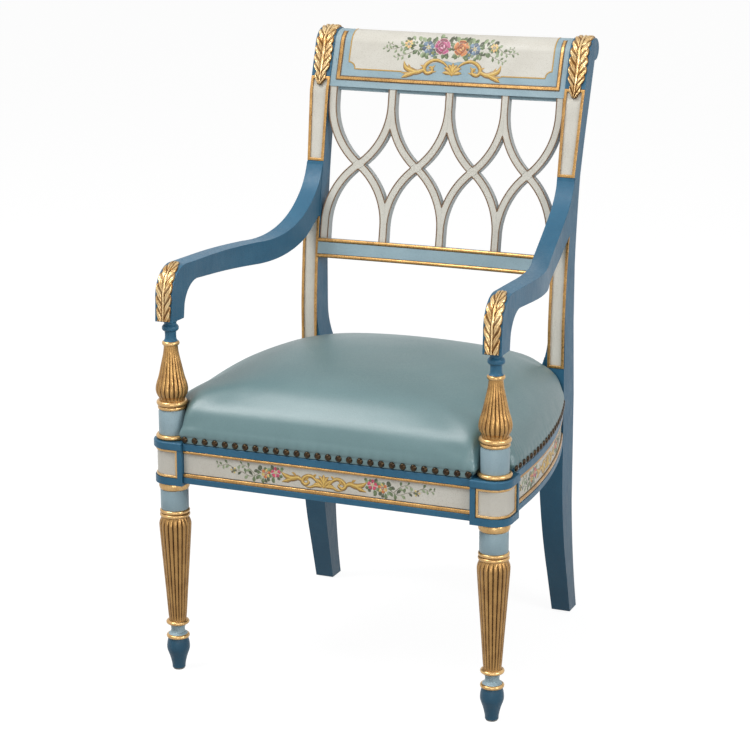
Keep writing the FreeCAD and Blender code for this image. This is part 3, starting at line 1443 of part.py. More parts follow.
node(cut("cushion_notched", cushion_blank, [
    support_notch, mirrored(support_notch, "support_notch_left"),
    post_notch, mirrored(post_notch, "post_notch_left")]), "seat_cushion")

# The cover's nailed hem, in the rebates of the rails
hem_low = size.seat_rail_top_z + size.fit_gap
hem_high = cushion_bottom - size.fit_gap
hem_front = size.front_rail_face_y + size.tacking_rebate - size.fit_gap
node(box("hem_front_part", (size.soft_gap - block_inner_x, block_inner_x - size.soft_gap),
         (hem_front - size.hem_thickness, hem_front), (hem_low, hem_high)), "seat_hem_front")
hem_side = size.side_rail_x - size.tacking_rebate + size.fit_gap
pair(swept("hem_side", rectangle(hem_side, hem_side + size.hem_thickness, hem_low, hem_high),
           size.block_half + size.soft_gap, size.post_front_y - size.soft_gap), "seat_hem_side")
hem_back = size.back_rail_y - size.tacking_rebate + size.fit_gap
hem_half = size.post_seat_inner_x - size.soft_gap
node(box("hem_back_part", (-hem_half, hem_half), (hem_back, hem_back + size.hem_thickness),
         (hem_low, hem_high)), "seat_hem_back")

# Check everything, then write one file to each piece
doc.recompute()
for thing in doc.Objects:
    if "Invalid" in thing.State or "Error" in thing.State:
        raise RuntimeError("%s did not compute: %s" % (thing.Name, thing.State))
os.makedirs("parts", exist_ok=True)
for piece in nodes:
    if piece.Shape.isNull() or not piece.Shape.isValid():
        raise RuntimeError("%s has no valid shape" % piece.Label)
    piece.Shape.exportStep("parts/%s.step" % piece.Label)
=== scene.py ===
"""Looks of a painted open armchair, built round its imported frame. Metres, +Z up, front to -Y."""

import math

import bmesh
import bpy
import numpy as np
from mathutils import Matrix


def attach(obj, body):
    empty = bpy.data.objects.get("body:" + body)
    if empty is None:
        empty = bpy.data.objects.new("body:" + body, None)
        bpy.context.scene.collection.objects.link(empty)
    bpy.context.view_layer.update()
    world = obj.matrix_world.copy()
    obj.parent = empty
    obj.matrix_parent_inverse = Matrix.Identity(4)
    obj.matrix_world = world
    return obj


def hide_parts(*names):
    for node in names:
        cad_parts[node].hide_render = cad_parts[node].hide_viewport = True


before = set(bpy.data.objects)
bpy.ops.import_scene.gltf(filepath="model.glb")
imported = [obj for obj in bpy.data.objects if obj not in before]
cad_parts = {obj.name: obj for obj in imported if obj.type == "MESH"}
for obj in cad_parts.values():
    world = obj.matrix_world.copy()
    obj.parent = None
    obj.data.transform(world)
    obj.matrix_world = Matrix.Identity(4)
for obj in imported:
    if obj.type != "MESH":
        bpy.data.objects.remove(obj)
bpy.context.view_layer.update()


# The studio
# A pale sheet of floor runs back out of sight under soft lamps: a broad one high in front and to
# the left, which puts the sheen on the seat, and weaker ones in front, to the right and above.
def wire(tree, kind, inputs=None, **settings):
    """One node in a tree: its settings, and its inputs as numbers or as other nodes' sockets."""
    made = tree.nodes.new("ShaderNode" + kind)
    for name, value in settings.items():
        setattr(made, name, value)
    for name, value in (inputs or {}).items():
        if isinstance(value, bpy.types.NodeSocket):
            tree.links.new(value, made.inputs[name])
        else:
            made.inputs[name].default_value = value
    return made


def math_of(tree, operation, *values):
    """The result of one sum over numbers or sockets."""
    return wire(tree, "Math", dict(enumerate(values)), operation=operation).outputs[0]


def bare_tree(owner):
    """The emptied node tree of a material or of the world."""
    owner.use_nodes = True
    owner.node_tree.nodes.clear()
    return owner.node_tree


def mesh_of(name, points, faces):
    """A mesh from an array of points and a list of faces."""
    mesh = bpy.data.meshes.new(name)
    mesh.from_pydata(points.reshape(-1, 3).tolist(), [], faces)
    return mesh


def backdrop_share(tree):
    """1 for a ray of the camera, or one that metal, varnish or glass sends on, and else 0."""
    ray = wire(tree, "LightPath").outputs
    seen = math_of(tree, "MAXIMUM", ray["Is Camera Ray"], ray["Is Glossy Ray"])
    return math_of(tree, "MAXIMUM", seen, ray["Is Transmission Ray"])


room_white = (1.0, 1.0, 1.0, 1.0)
sky_strength = 0.26
world = bpy.data.worlds.new("studio")
bpy.context.scene.world = world
tree = bare_tree(world)
level = wire(tree, "MapRange", {"Value": backdrop_share(tree), "To Min": sky_strength,
                                "To Max": 1.0})
sky = wire(tree, "Background", {"Color": room_white, "Strength": level.outputs[0]})
wire(tree, "OutputWorld", {"Surface": sky.outputs[0]})

floor_white = (0.2, 0.2, 0.2, 1.0)
floor_lift, floor_reach = 0.92, 30.0
corners = np.array([[-1, -1, 0], [1, -1, 0], [1, 1, 0], [-1, 1, 0]]) * floor_reach
floor_mesh = mesh_of("floor", corners, [(0, 1, 2, 3)])
floor_paper = bpy.data.materials.new("floor_paper")
tree = bare_tree(floor_paper)
lift = math_of(tree, "MULTIPLY", backdrop_share(tree), floor_lift)
paper = wire(tree, "BsdfDiffuse", {"Color": floor_white})
glow = wire(tree, "Emission", {"Color": room_white, "Strength": lift})
both = wire(tree, "AddShader", {0: paper.outputs[0], 1: glow.outputs[0]})
wire(tree, "OutputMaterial", {"Surface": both.outputs[0]})
floor_mesh.materials.append(floor_paper)
floor = bpy.data.objects.new("floor", floor_mesh)
bpy.context.scene.collection.objects.link(floor)

# Each lamp: where it hangs, the width of its panel, and its power
lamps = {
    "window": ((-1.6, -1.5, 3.3), 1.5, 77.5),
    "fill": ((1.2, -3.3, 0.9), 1.6, 22.0),
    "bounce": ((3.0, -1.2, 1.8), 1.4, 41.0),
    "overhead": ((0.0, 0.4, 3.2), 2.0, 4.0),
}
aim_height = 0.5
for name, (spot, width, power) in lamps.items():
    light = bpy.data.lights.new(name, "AREA")
    light.size = width
    light.energy = power
    lamp = bpy.data.objects.new(name, light)
    lamp.location = spot
    away = lamp.location.copy()
    away.z -= aim_height
    lamp.rotation_euler = away.to_track_quat("Z", "Y").to_euler()
    bpy.context.scene.collection.objects.link(lamp)

# The camera stands in front, to the right and above the seat, as in the photograph
camera_place = (1.2867, -3.14512, 1.3456)
camera_azimuth, camera_elevation, camera_roll = 22.82, 14.98, -0.09
focal_share = 2230.38 / 750
lens = bpy.data.cameras.new("camera")
lens.sensor_width = 36.0
lens.lens = lens.sensor_width * focal_share
camera = bpy.data.objects.new("camera", lens)
camera.location = camera_place
camera.rotation_euler = (math.radians(90 - camera_elevation), 0, math.radians(camera_azimuth))
camera.rotation_euler.rotate_axis("Z", math.radians(camera_roll))
bpy.context.scene.collection.objects.link(camera)
bpy.context.scene.camera = camera
bpy.context.scene.view_settings.view_transform = "Standard"


# Glides
# A turned steel disc with a rounded edge is nailed under each foot.
def shade(written):
    """A colour written as six hexadecimal digits, in the linear values that a shader reads."""
    parts = np.array([int(written[i:i + 2], 16) for i in (0, 2, 4)]) / 255
    linear = np.where(parts > 0.04045, ((parts + 0.055) / 1.055) ** 2.4, parts / 12.92)
    return (*linear.tolist(), 1.0)


def finish_of(name, slot, roughness, metallic=0.0, **fixed):
    """A material with one shader, whose fixed numbers are set on its own sockets. The slot is not
    used."""
    material = bpy.data.materials.new(name)
    tree = bare_tree(material)
    shader = wire(tree, "BsdfPrincipled", {"Roughness": roughness, "Metallic": metallic})
    for socket, value in fixed.items():
        shader.inputs[socket.replace("_", " ")].default_value = value
    wire(tree, "OutputMaterial", {"Surface": shader.outputs[0]})
    return material, tree, shader


def painted_with(tree, shader, colour):
    """Takes the shader's colour from a socket."""
    tree.links.new(colour, shader.inputs["Base Color"])


def place_of(tree, scale):
    """The object's own coordinates, times a scale on each axis."""
    here = wire(tree, "TexCoord")
    return wire(tree, "Mapping", {"Vector": here.outputs["Object"], "Scale": scale}).outputs[0]


def cloud(tree, scale, detail, stretch=(1.0, 1.0, 1.0)):
    """A soft noise from 0 to 1 over the object's own coordinates."""
    return wire(tree, "TexNoise", {"Vector": place_of(tree, stretch), "Scale": scale,
                                   "Detail": detail}).outputs["Fac"]


def span(tree, value, low, high, to_low, to_high):
    """A value's range from low to high, carried over to another range and held inside it."""
    return wire(tree, "MapRange", {"Value": value, "From Min": low, "From Max": high,
                                   "To Min": to_low, "To Max": to_high}).outputs[0]


def blend_of(tree, share, first, second):
    """Two colours, or their sockets, mixed by a share."""
    return wire(tree, "Mix", {0: share, 6: first, 7: second}, data_type="RGBA").outputs[2]


def bumped(tree, shader, height, depth, strength=1.0):
    """Raises the surface by a height from 0 to 1, times a depth in metres."""
    bump = wire(tree, "Bump", {"Height": height, "Distance": depth, "Strength": strength})
    tree.links.new(bump.outputs[0], shader.inputs["Normal"])


steel, tree, shader = finish_of("dull_steel", "glide", 0.42, 0.85)
scuffs = cloud(tree, 420.0, 5.0)
painted_with(tree, shader, blend_of(tree, span(tree, scuffs, 0.35, 0.7, 0.0, 1.0),
                                    shade("4a4a48"), shade("8b8983")))
bumped(tree, shader, scuffs, 0.0002)

mm = 0.001
leg_y = -262.12 * mm


def rings_of(number):
    """The faces between the rows of numbered points, each row of them closed on itself."""
    after = np.roll(number, -1, axis=-1)
    return np.stack([number[..., :-1, :], after[..., :-1, :], after[..., 1:, :],
                     number[..., 1:, :]], axis=-1).reshape(-1, 4).tolist()


def skin(name, grid, finish, groove=None, flat_angle=40.0):
    """A mesh from a grid of points, rows by columns by 3, each cell of it one face.

    The last column is joined to the first. Points that fall together, as at a pole, are merged,
    and the faces are turned outwards. groove is 1 for a point down in the carving.
    """
    mesh = mesh_of(name, grid, rings_of(np.arange(grid[..., 0].size).reshape(grid.shape[:2])))
    if groove is not None:
        layer = mesh.attributes.new("groove", "FLOAT", "POINT")
        layer.data.foreach_set("value", groove.astype(np.float32).ravel())
    return piece_of(name, mesh, finish, flat_angle)


def piece_of(name, mesh, finish, flat_angle=40.0, close=1e-6):
    """Merges a mesh's doubles, turns it outwards, shades it smooth but for its sharp edges, and
    makes it a piece of the body."""
    work = bmesh.new()
    work.from_mesh(mesh)
    bmesh.ops.remove_doubles(work, verts=work.verts, dist=close)
    bmesh.ops.dissolve_degenerate(work, edges=work.edges, dist=close)
    bmesh.ops.recalc_face_normals(work, faces=work.faces)
    work.to_mesh(mesh)
    work.free()
    mesh.shade_smooth()
    mesh.set_sharp_from_angle(angle=math.radians(flat_angle))
    mesh.materials.append(finish)
    piece = bpy.data.objects.new(name, mesh)
    bpy.context.scene.collection.objects.link(piece)
    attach(piece, "root")
    return piece


def round_axis(axis, reach, turn, height):
    """Points (x + r cos a, y + r sin a, z) round an upright axis at (x, y), for lengths in mm."""
    return np.stack(np.broadcast_arrays(axis[0] + reach * mm * np.cos(turn),
                                        axis[1] + reach * mm * np.sin(turn),
                                        height * mm), axis=-1)


def full_turn(count):
    """Angles set evenly round a whole turn."""
    return np.linspace(0, 2 * np.pi, count, endpoint=False)


def turned(name, profile, axis, finish, columns=48):
    """A turning: each (radius, height) of the profile swept round an upright axis.

    The ends are closed on the axis.
    """
    profile = np.asarray(profile, float)
    ends = [[[0.0, profile[0, 1]]], profile, [[0.0, profile[-1, 1]]]]
    radius, height = np.concatenate(ends).T[..., None]
    return skin(name, round_axis(axis, radius, full_turn(columns), height), finish)


sides = {"right": 1, "left": -1}
leg_x = 260.0 * mm
back_glide_x, back_glide_y = 215.75 * mm, leg_y + 477.0 * mm
glide_profile = [(8.2, 0.0), (9.0, 0.7), (9.0, 2.3), (8.4, 3.0)]
for side, way in sides.items():
    for end, x, y in (("front", leg_x, leg_y), ("back", back_glide_x, back_glide_y)):
        glide = turned(f"foot_glide_{end}_{side}", glide_profile, (x * way, y), steel, 32)
        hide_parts(f"glide_{end}_{side}")


# Front legs
# Turned in beech in one length with the block: a bulb foot, an ankle between two gilt rings, a
# tapering shaft cut with twenty reeds, and a painted collar under the block.
as_it_is = (1.0, 1.0, 1.0)


def height_in(tree):
    """The height above the floor, for a piece whose origin is there."""
    return wire(tree, "SeparateXYZ", {"Vector": place_of(tree, as_it_is)}).outputs["Z"]


def hollows(tree, distance):
    """1 on open ground and less in a hollow or a corner."""
    return wire(tree, "AmbientOcclusion", {"Distance": distance}, samples=4).outputs["AO"]


paint_roughness = 0.42


def worn_paint(name, slot, colours, floor_shade=0.0):
    """Old hand-laid paint: a soft unevenness of colour, dark specks, fine brush lines and a slight
    crackle. Painted shade: the deep colour is laid in hollows and corners and towards the floor."""
    colour, deep, pale = map(shade, colours)
    material, tree, shader = finish_of(name, slot, paint_roughness, Coat_Weight=0.05,
                                       Coat_Roughness=0.25, Specular_IOR_Level=0.3)
    patches = cloud(tree, 22.0, 5.0)
    tone = blend_of(tree, span(tree, patches, 0.3, 0.72, 0.0, 1.0), colour, pale)
    specks = cloud(tree, 900.0, 2.0)
    tone = blend_of(tree, span(tree, specks, 0.52, 0.72, 0.0, 0.35), tone, deep)
    # Painted shade: the deep colour laid in hollows and corners, found by occlusion
    hollow_shade = math_of(tree, "MULTIPLY", span(tree, hollows(tree, 0.007), 0.35, 0.92, 0.75, 0.0),
                   span(tree, patches, 0.2, 0.7, 1.0, 0.45))
    tone = blend_of(tree, hollow_shade, tone, deep)
    # Painted shade: the deep colour grows towards the floor, where less light falls
    tone = blend_of(tree, span(tree, height_in(tree), 0.04, 0.34, floor_shade, 0.0), tone, deep)
    painted_with(tree, shader, tone)
    brush = cloud(tree, 260.0, 4.0, (1.0, 1.0, 0.16))
    crackle = wire(tree, "TexVoronoi", {"Vector": place_of(tree, (1.0, 1.0, 0.6)),
                                        "Scale": 330.0}, feature="DISTANCE_TO_EDGE")
    lines = span(tree, crackle.outputs["Distance"], 0.0, 0.05, 0.55, 0.0)
    bumped(tree, shader, math_of(tree, "SUBTRACT", brush, lines), 0.00025, 0.5)
    tree.links.new(span(tree, brush, 0.3, 0.7, paint_roughness - 0.07, paint_roughness + 0.09),
                   shader.inputs["Roughness"])
    return material


def leaf_gilding(name, colours, roughness, floor_shade=0.0):
    """Water gilding toned with brown: leaf in soft patches, brown size showing where it is rubbed,
    and fine wrinkles in the leaf. Painted shade: brown laid in hollows, on faces looking down,
    in the carving's grooves and towards the floor. Painted highlight: bright leaf on its crests."""
    bright, middle, rubbed_and_shade = map(shade, colours)
    material, tree, shader = finish_of(name, "gilding", roughness, 0.68)
    patches = cloud(tree, 60.0, 6.0)
    tone = blend_of(tree, span(tree, patches, 0.35, 0.66, 0.0, 1.0), middle, bright)
    flecks = cloud(tree, 520.0, 5.0, (1.0, 1.0, 0.35))
    tone = blend_of(tree, span(tree, flecks, 0.5, 0.68, 0.0, 0.6), tone, rubbed_and_shade)
    # Painted shade: brown laid in hollows and corners, found by occlusion
    tone = blend_of(tree, span(tree, hollows(tree, 0.005), 0.3, 0.9, 0.9, 0.0), tone, rubbed_and_shade)
    # Painted shade: brown laid on the faces that look down
    facing = wire(tree, "SeparateXYZ", {"Vector": wire(tree, "NewGeometry").outputs["Normal"]})
    under = span(tree, facing.outputs["Z"], -0.8, 0.35, 0.9, 0.0)
    tone = blend_of(tree, under, tone, rubbed_and_shade)
    # Painted shade: brown grows towards the floor, where less light falls
    tone = blend_of(tree, span(tree, height_in(tree), 0.24, 0.4, floor_shade, 0.0), tone, rubbed_and_shade)
    groove = wire(tree, "Attribute", attribute_name="groove").outputs["Fac"]
    # Painted highlight: bright leaf laid along the crests of the carving
    tone = blend_of(tree, span(tree, groove, 0.0, 0.3, 0.45, 0.0), tone, bright)
    # Painted shade: brown laid down in the grooves of the carving
    tone = blend_of(tree, span(tree, groove, 0.35, 1.0, 0.0, 0.95), tone, rubbed_and_shade)
    painted_with(tree, shader, tone)
    tree.links.new(span(tree, flecks, 0.4, 0.7, roughness - 0.08, roughness + 0.2),
                   shader.inputs["Roughness"])
    bumped(tree, shader, flecks, 0.0003, 0.45)
    return material


# Each paint's second colour and each gilding's third serve as wear and as painted shade; the share
# given last darkens the lower parts as painted shade
blue_paint = worn_paint("blue_paint", "blue_paint", ("2f6482", "14303e", "3a708e"), floor_shade=0.5)
pale_blue_paint = worn_paint("pale_blue_paint", "pale_blue_paint",
                             ("98b1bb", "5c737b", "a5bdc6"))
cream_paint = worn_paint("cream_paint", "cream_paint", ("d8d4c9", "958b73", "e2dfd5"))
bright_gilding = leaf_gilding("bright_gilding", ("e6bd80", "ab7c40", "4c2d0d"), 0.22)
antique_gilding = leaf_gilding("antique_gilding", ("cfa262", "885e32", "42270f"), 0.29,
                               floor_shade=0.42)


def bead(seat, bottom, height, widest):
    """The half-round of a turned ring: half an ellipse from the seat out to the widest."""
    turn = np.linspace(0, np.pi, 12)
    return np.stack([seat + (widest - seat) * np.sin(turn),
                     bottom + height / 2 * (1 - np.cos(turn))], axis=1)


def swept(stations, count=8):
    """A smooth line through stations, a cubic with the slope at each one from its neighbours."""
    points = np.asarray(stations, float)
    slopes = np.gradient(points, axis=0)
    t = np.linspace(0, 1, count, endpoint=False)[None, :, None]
    start, end = points[:-1, None], points[1:, None]
    leave, arrive = slopes[:-1, None], slopes[1:, None]
    line = (start * (2 * t**3 - 3 * t**2 + 1) + leave * (t**3 - 2 * t**2 + t)
            + end * (3 * t**2 - 2 * t**3) + arrive * (t**3 - t**2))
    return np.concatenate([line.reshape(-1, points.shape[1]), points[-1:]])


def capped(grid):
    """A grid with its first and last rows closed on their middles."""
    ends = [np.broadcast_to(row.mean(axis=0), grid[:1].shape) for row in (grid[0], grid[-1])]
    return np.concatenate([ends[0], grid, ends[1]])


reed_count, reed_steps, reed_depth_share = 20, 9, 0.105


def reeded(name, stations, fade_low, fade_high, axis, finish):
    """A reeded turning: half-round reeds side by side round the swept profile.

    Across one reed, t runs from 0 to 1 and the radius is r (1 - d (1 - sin(pi t))), where the
    depth d falls to nothing over the fade at either end, as where the gouge was lifted.
    """
    radius, height = swept(stations, 7).T[..., None]
    phase = np.pi * np.arange(reed_steps) / reed_steps
    turn = ((np.arange(reed_count)[:, None] + (1 - np.cos(phase)) / 2)
            * 2 * np.pi / reed_count).ravel()
    ridge = np.tile(np.sin(phase), reed_count)
    rise = np.clip((height - height[0]) / fade_low, 0, 1)
    fall = np.clip((height[-1] - height) / fade_high, 0, 1)
    depth = reed_depth_share * np.sqrt(np.clip(rise * fall, 0, 1))
    grid = round_axis(axis, radius * (1 - depth * (1 - ridge)), turn, height)
    groove = np.clip((1 - ridge) * depth / reed_depth_share, 0, 1) ** 1.5
    return skin(name, capped(grid), finish, groove[[0, *range(len(groove)), -1]], 60.0)


foot_profile = swept([(10.2, 3.0), (10.6, 9.0), (13.4, 21.0), (17.6, 34.0), (17.2, 44.5),
                      (15.2, 52.4)])
ankle_profile = swept([(15.0, 58.9), (11.2, 63.0), (10.7, 67.5), (11.8, 72.0), (14.0, 75.0)])
shaft_stations = [(13.6, 81.8), (13.8, 86.0), (14.6, 94.0), (17.4, 134.0), (20.4, 174.0),
                  (23.4, 216.0), (24.7, 236.0), (24.4, 242.0), (22.6, 247.5), (20.6, 251.4)]
collar_profile = [(21.0, 264.0), (21.5, 265.2), (21.5, 294.8), (21.0, 296.0)]
leg_rings = [(15.0, 52.4, 6.5, 18.1), (14.0, 75.0, 6.8, 18.1), (20.4, 251.4, 6.3, 23.4),
             (20.4, 257.7, 6.3, 23.2), (20.4, 296.0, 13.0, 23.6)]
for side, way in sides.items():
    axis = (leg_x * way, leg_y)
    shaft = reeded(f"leg_shaft_{side}", shaft_stations, 10.0, 9.0, axis, antique_gilding)
    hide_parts(f"front_leg_{side}")
    turned(f"leg_foot_{side}", foot_profile, axis, blue_paint)
    turned(f"leg_ankle_{side}", ankle_profile, axis, pale_blue_paint)
    turned(f"leg_collar_{side}", collar_profile, axis, pale_blue_paint)
    for number, sizes in enumerate(leg_rings, start=1):
        turned(f"leg_ring_{number}_{side}", bead(*sizes), axis, bright_gilding)


# Leg blocks
# The square head of each front leg takes the seat rails. Its outer front corner is rounded, and a
# cream panel in a gilt frame is sunk into the two faces that show.
def corners_of(mesh):
    """A mesh's corners as an array."""
    flat = np.zeros(len(mesh.vertices) * 3)
    mesh.vertices.foreach_get("co", flat)
    return flat.reshape(-1, 3)


def eased(node, name, finish, width, above=None, steps=2, pick=35.0):
    """A copy of a CAD piece, merged, cut off below a height if one is given, with its sharp
    edges rounded to a width, standing in for the piece."""
    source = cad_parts[node].data
    mesh = mesh_of(name, corners_of(source), [tuple(face.vertices) for face in source.polygons])
    work = bmesh.new()
    work.from_mesh(mesh)
    bmesh.ops.remove_doubles(work, verts=work.verts, dist=merge_reach)
    if above is not None:
        parts = work.verts[:] + work.edges[:] + work.faces[:]
        cut = bmesh.ops.bisect_plane(work, geom=parts, plane_co=(0, 0, above),
                                     plane_no=(0, 0, 1), clear_inner=True)
        bmesh.ops.holes_fill(work, edges=[edge for edge in cut["geom_cut"]
                                          if isinstance(edge, bmesh.types.BMEdge)])
    bmesh.ops.dissolve_limit(work, angle_limit=math.radians(0.6), verts=work.verts,
                             edges=work.edges)
    work.to_mesh(mesh)
    work.free()
    piece = piece_of(name, mesh, finish, close=merge_reach)
    ease = piece.modifiers.new("eased", "BEVEL")
    ease.width = width * mm
    ease.segments = steps
    ease.limit_method = "ANGLE"
    ease.angle_limit = math.radians(pick)
    ease.harden_normals = True
    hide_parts(node)
    return piece


def carried(name, path, out, profile, finish):
    """A closed profile carried along a level path, with both ends closed: each point is path +
    a out + b up for the profile's (a, b)."""
    out = np.broadcast_to(out, path.shape)[:, None]
    grid = path[:, None] + profile[:, :1] * out + profile[:, 1:] * upright
    return skin(name, capped(grid), finish)


def unit(vectors):
    """The vectors at a length of one."""
    return vectors / np.maximum(np.linalg.norm(vectors, axis=-1, keepdims=True), 1e-9)


def left_of(line):
    """The direction to the left of the way along a flat line, at each of its points."""
    way = np.gradient(line, axis=0)
    return unit(np.stack([-way[:, 1], way[:, 0]], axis=1))


def outward(path):
    """The level direction to the right of the way along a path."""
    return np.pad(-left_of(path[:, :2]), ((0, 0), (0, 1)))


merge_reach = 2e-5
upright = np.array([0.0, 0.0, 1.0])
block_floor, block_cut_z, panel_film = 24.0, 309.06, 0.35
block_left, block_back, block_low, block_high = -19.0, 21.0, 321.0, 363.5
turn = np.linspace(-np.pi / 2, 0, 14)
plan = np.stack([block_floor * np.cos(turn), block_floor * np.sin(turn)], axis=1)
plan = np.concatenate([[[block_left, -block_floor]], plan, [[block_floor, block_back]]])
film = np.array([[0, block_low], [panel_film, block_low], [panel_film, block_high],
                 [0, block_high]]) * mm
for side, way in sides.items():
    eased(f"front_leg_{side}", f"leg_block_{side}", blue_paint, 1.1, above=block_cut_z * mm,
          steps=3)
    path = np.pad(plan * (way, 1) * mm + (leg_x * way, leg_y), ((0, 0), (0, 1)))
    carried(f"leg_block_panel_{side}", path, outward(path) * way, film, cream_paint)
    eased(f"block_frame_{side}", f"leg_block_frame_{side}", bright_gilding, 0.9, steps=3)


# Arm supports
# Turned like the legs and dowelled into the blocks: a gilt ring, a painted collar, two gilt
# rings, a reeded gilt vase, a ring, and a blue neck and bead under the arm.
support_collar = [(21.0, 384.5), (21.2, 385.4), (21.2, 419.0), (20.6, 420.4), (20.2, 422.8)]
vase_stations = [(19.4, 437.0), (20.4, 441.0), (23.4, 446.5), (24.7, 454.0), (23.2, 463.0),
                 (19.8, 474.0), (15.3, 494.0), (12.2, 508.0), (11.0, 516.7), (10.8, 521.7)]
neck_profile = swept([(11.0, 528.3), (9.2, 531.0), (8.6, 535.0), (8.6, 540.0), (8.9, 543.2)])
cap_profile = swept([(8.9, 543.2), (12.0, 545.5), (12.8, 548.5), (12.0, 551.5), (9.4, 554.6),
                     (9.6, 557.0), (11.6, 560.9)])
support_rings = [(22.6, 377.0, 7.5, 25.8), (20.2, 422.8, 5.8, 22.2), (20.2, 428.6, 8.4, 24.0),
                 (10.8, 521.7, 6.6, 13.4)]
for side, way in sides.items():
    axis = (leg_x * way, leg_y)
    vase = reeded(f"support_vase_{side}", vase_stations, 8.0, 40.0, axis, antique_gilding)
    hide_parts(f"arm_support_{side}")
    turned(f"support_collar_{side}", support_collar, axis, pale_blue_paint)
    turned(f"support_neck_{side}", neck_profile, axis, blue_paint)
    turned(f"support_cap_{side}", cap_profile, axis, blue_paint)
    for number, sizes in enumerate(support_rings, start=1):
        turned(f"support_ring_{number}_{side}", bead(*sizes), axis, bright_gilding)


# Back posts
# Each post is sawn in one length from foot to head: the leg sweeps back, the face runs straight
# past the seat and rolls over at the top. Two cream panels in gilt frames are sunk in its face.
def bowed(start, end, bulge, count=16):
    """Points of an arc from start to end that stands out by bulge to the left of the way there.

    Half its angle is twice the arc tangent of bulge over half the chord.
    """
    start, end = np.asarray(start, float), np.asarray(end, float)
    chord = end - start
    length = np.linalg.norm(chord)
    along = chord / length
    left = np.array([-along[1], along[0]])
    half_angle = 2 * math.atan(2 * bulge / length)
    radius = length / 2 / math.sin(half_angle)
    turn = np.linspace(-half_angle, half_angle, count)[:, None]
    rise = radius * (np.cos(turn) - math.cos(half_angle))
    return (start + end) / 2 + along * radius * np.sin(turn) + left * rise


def placed(x, y, z):
    """Points in metres, from millimetres off the middle, behind the front legs and up."""
    return np.stack(np.broadcast_arrays(x * mm, leg_y + y * mm, z * mm), axis=-1)


post_face = np.concatenate([[(405.0, 430.0)], bowed((405.0, 500.0), (437.0, 737.0), 5.0)[:-1],
                            [(437.0, 737.0), (459.0, 850.0), (484.0, 920.0)]])
panel_recess, frame_lap, post_inner_x = 2.0, 4.0, 202.0
post_panels = {"lower": [(229.5, 434.0), (229.5, 560.0), (230.0, 648.0)],
               "upper": [(230.5, 737.0), (235.0, 850.0), (235.2, 873.0)]}
for side, way in sides.items():
    eased(f"back_post_{side}", f"back_post_shaped_{side}", blue_paint, 1.1, steps=3)
    for panel, edge in post_panels.items():
        edge = np.array(edge)
        z = np.linspace(edge[0, 1] + frame_lap, edge[-1, 1] - frame_lap, 28)
        y = np.interp(z, post_face[:, 1], post_face[:, 0]) + panel_recess
        inner = np.full_like(z, post_inner_x + frame_lap)
        outer = np.interp(z, edge[:, 1], edge[:, 0]) - frame_lap
        across = np.stack([inner, inner, outer, outer], axis=1)
        depth = np.array([0.0, -panel_film, -panel_film, 0.0])
        grid = placed(across * way, y[:, None] + depth, z[:, None])
        skin(f"post_panel_{panel}_{side}", capped(grid), cream_paint)
        eased(f"post_frame_{panel}_{side}", f"post_frame_{panel}_gilt_{side}", antique_gilding,
              0.7)


# Arms
# Each arm is sawn from one board, tenoned into the post, and bored for the support. It falls from
# the post, runs level and turns down at the front in a rounded knee.
for side in sides:
    eased(f"arm_{side}", f"arm_shaped_{side}", blue_paint, 1.6, steps=3)


# Carved leaves
# Acanthus leaves are cut in relief and gilded: one climbs the front of each arm over the knee,
# and one hangs down each post from the rolled head.
def run_of(line):
    """The length along a line up to each of its points."""
    return np.concatenate([[0], np.linalg.norm(np.diff(line, axis=0), axis=1).cumsum()])


def at_runs(at, run, values):
    """Rows of values, known at runs along a line, read at other runs."""
    return np.stack([np.interp(at, run, column) for column in values.T], axis=1)


rib_half, line_place, line_spread, leaf_back = 0.08, 0.52, 0.07, 0.6


def leaf_of(name, path, centre_x, half_widths, lobes, thickness, sweep):
    """A carved leaf laid along a path in the side plane, foot first.

    s runs along the leaf and u from -1 to 1 across it. A leaflet's place is p = lobes (s - sweep
    |u|), so the leaflets run from the midrib up and out. The edge is notched between two of them,
    and the relief falls in a narrow furrow between leaflets and beside the raised midrib, and has
    a fine line down the middle of each.
    """
    length = run_of(path)
    s = np.linspace(0, 1, lobes * 18)
    points = at_runs(s * length[-1], length, path)
    out = left_of(points)
    u = np.linspace(-1, 1, 37)
    reach = np.abs(u)
    lobe = lobes * (s[:, None] - sweep * reach**0.9)
    part = lobe - np.floor(lobe)
    ridge = np.sin(np.pi * part)
    edge_part = lobes * (s - sweep) - np.floor(lobes * (s - sweep))
    notch = 1 - 0.2 * (1 - np.sin(np.pi * edge_part) ** 0.5) * (s < 0.97) * (s > 0.12)
    width = np.interp(s, np.linspace(0, 1, len(half_widths)), half_widths) * notch
    blade = np.clip(1 - reach**8, 0, 1) ** 0.5
    spread = np.clip((reach - rib_half) * 5, 0, 1)
    furrow = 1 - spread * (1 - np.clip(ridge * 1.25, 0, 1) ** 0.8)
    line = spread * np.exp(-((part - line_place) / line_spread) ** 2) * (reach < 0.8)
    beside = np.exp(-((reach - 0.17) / 0.06) ** 2)
    relief = blade * np.clip(0.3 + 0.7 * furrow - 0.22 * line - 0.3 * beside, 0.04, 1)
    rib = 0.22 * np.exp(-(u / 0.09) ** 2)
    height = thickness * (relief * (0.8 + 0.2 * reach) + rib)
    height = height * np.clip((1 - s) / 0.05, 0, 1)[:, None] ** 0.5
    groove = np.clip(1.05 - furrow + 0.45 * line + 0.75 * beside - 3 * rib, 0, 1)
    groove = np.where(reach > 0.93, 0.7, groove)
    x = centre_x + np.concatenate([u, u[::-1]]) * width[:, None]
    proud = np.concatenate([height, np.full_like(height, -leaf_back)], axis=1)
    grid = placed(x, points[:, :1] + out[:, :1] * proud, points[:, 1:] + out[:, 1:] * proud)
    groove = np.concatenate([groove, np.ones_like(groove)], axis=1)
    return skin(name, capped(grid), carved_gilding, groove[[0, *range(len(s)), -1]], 70.0)


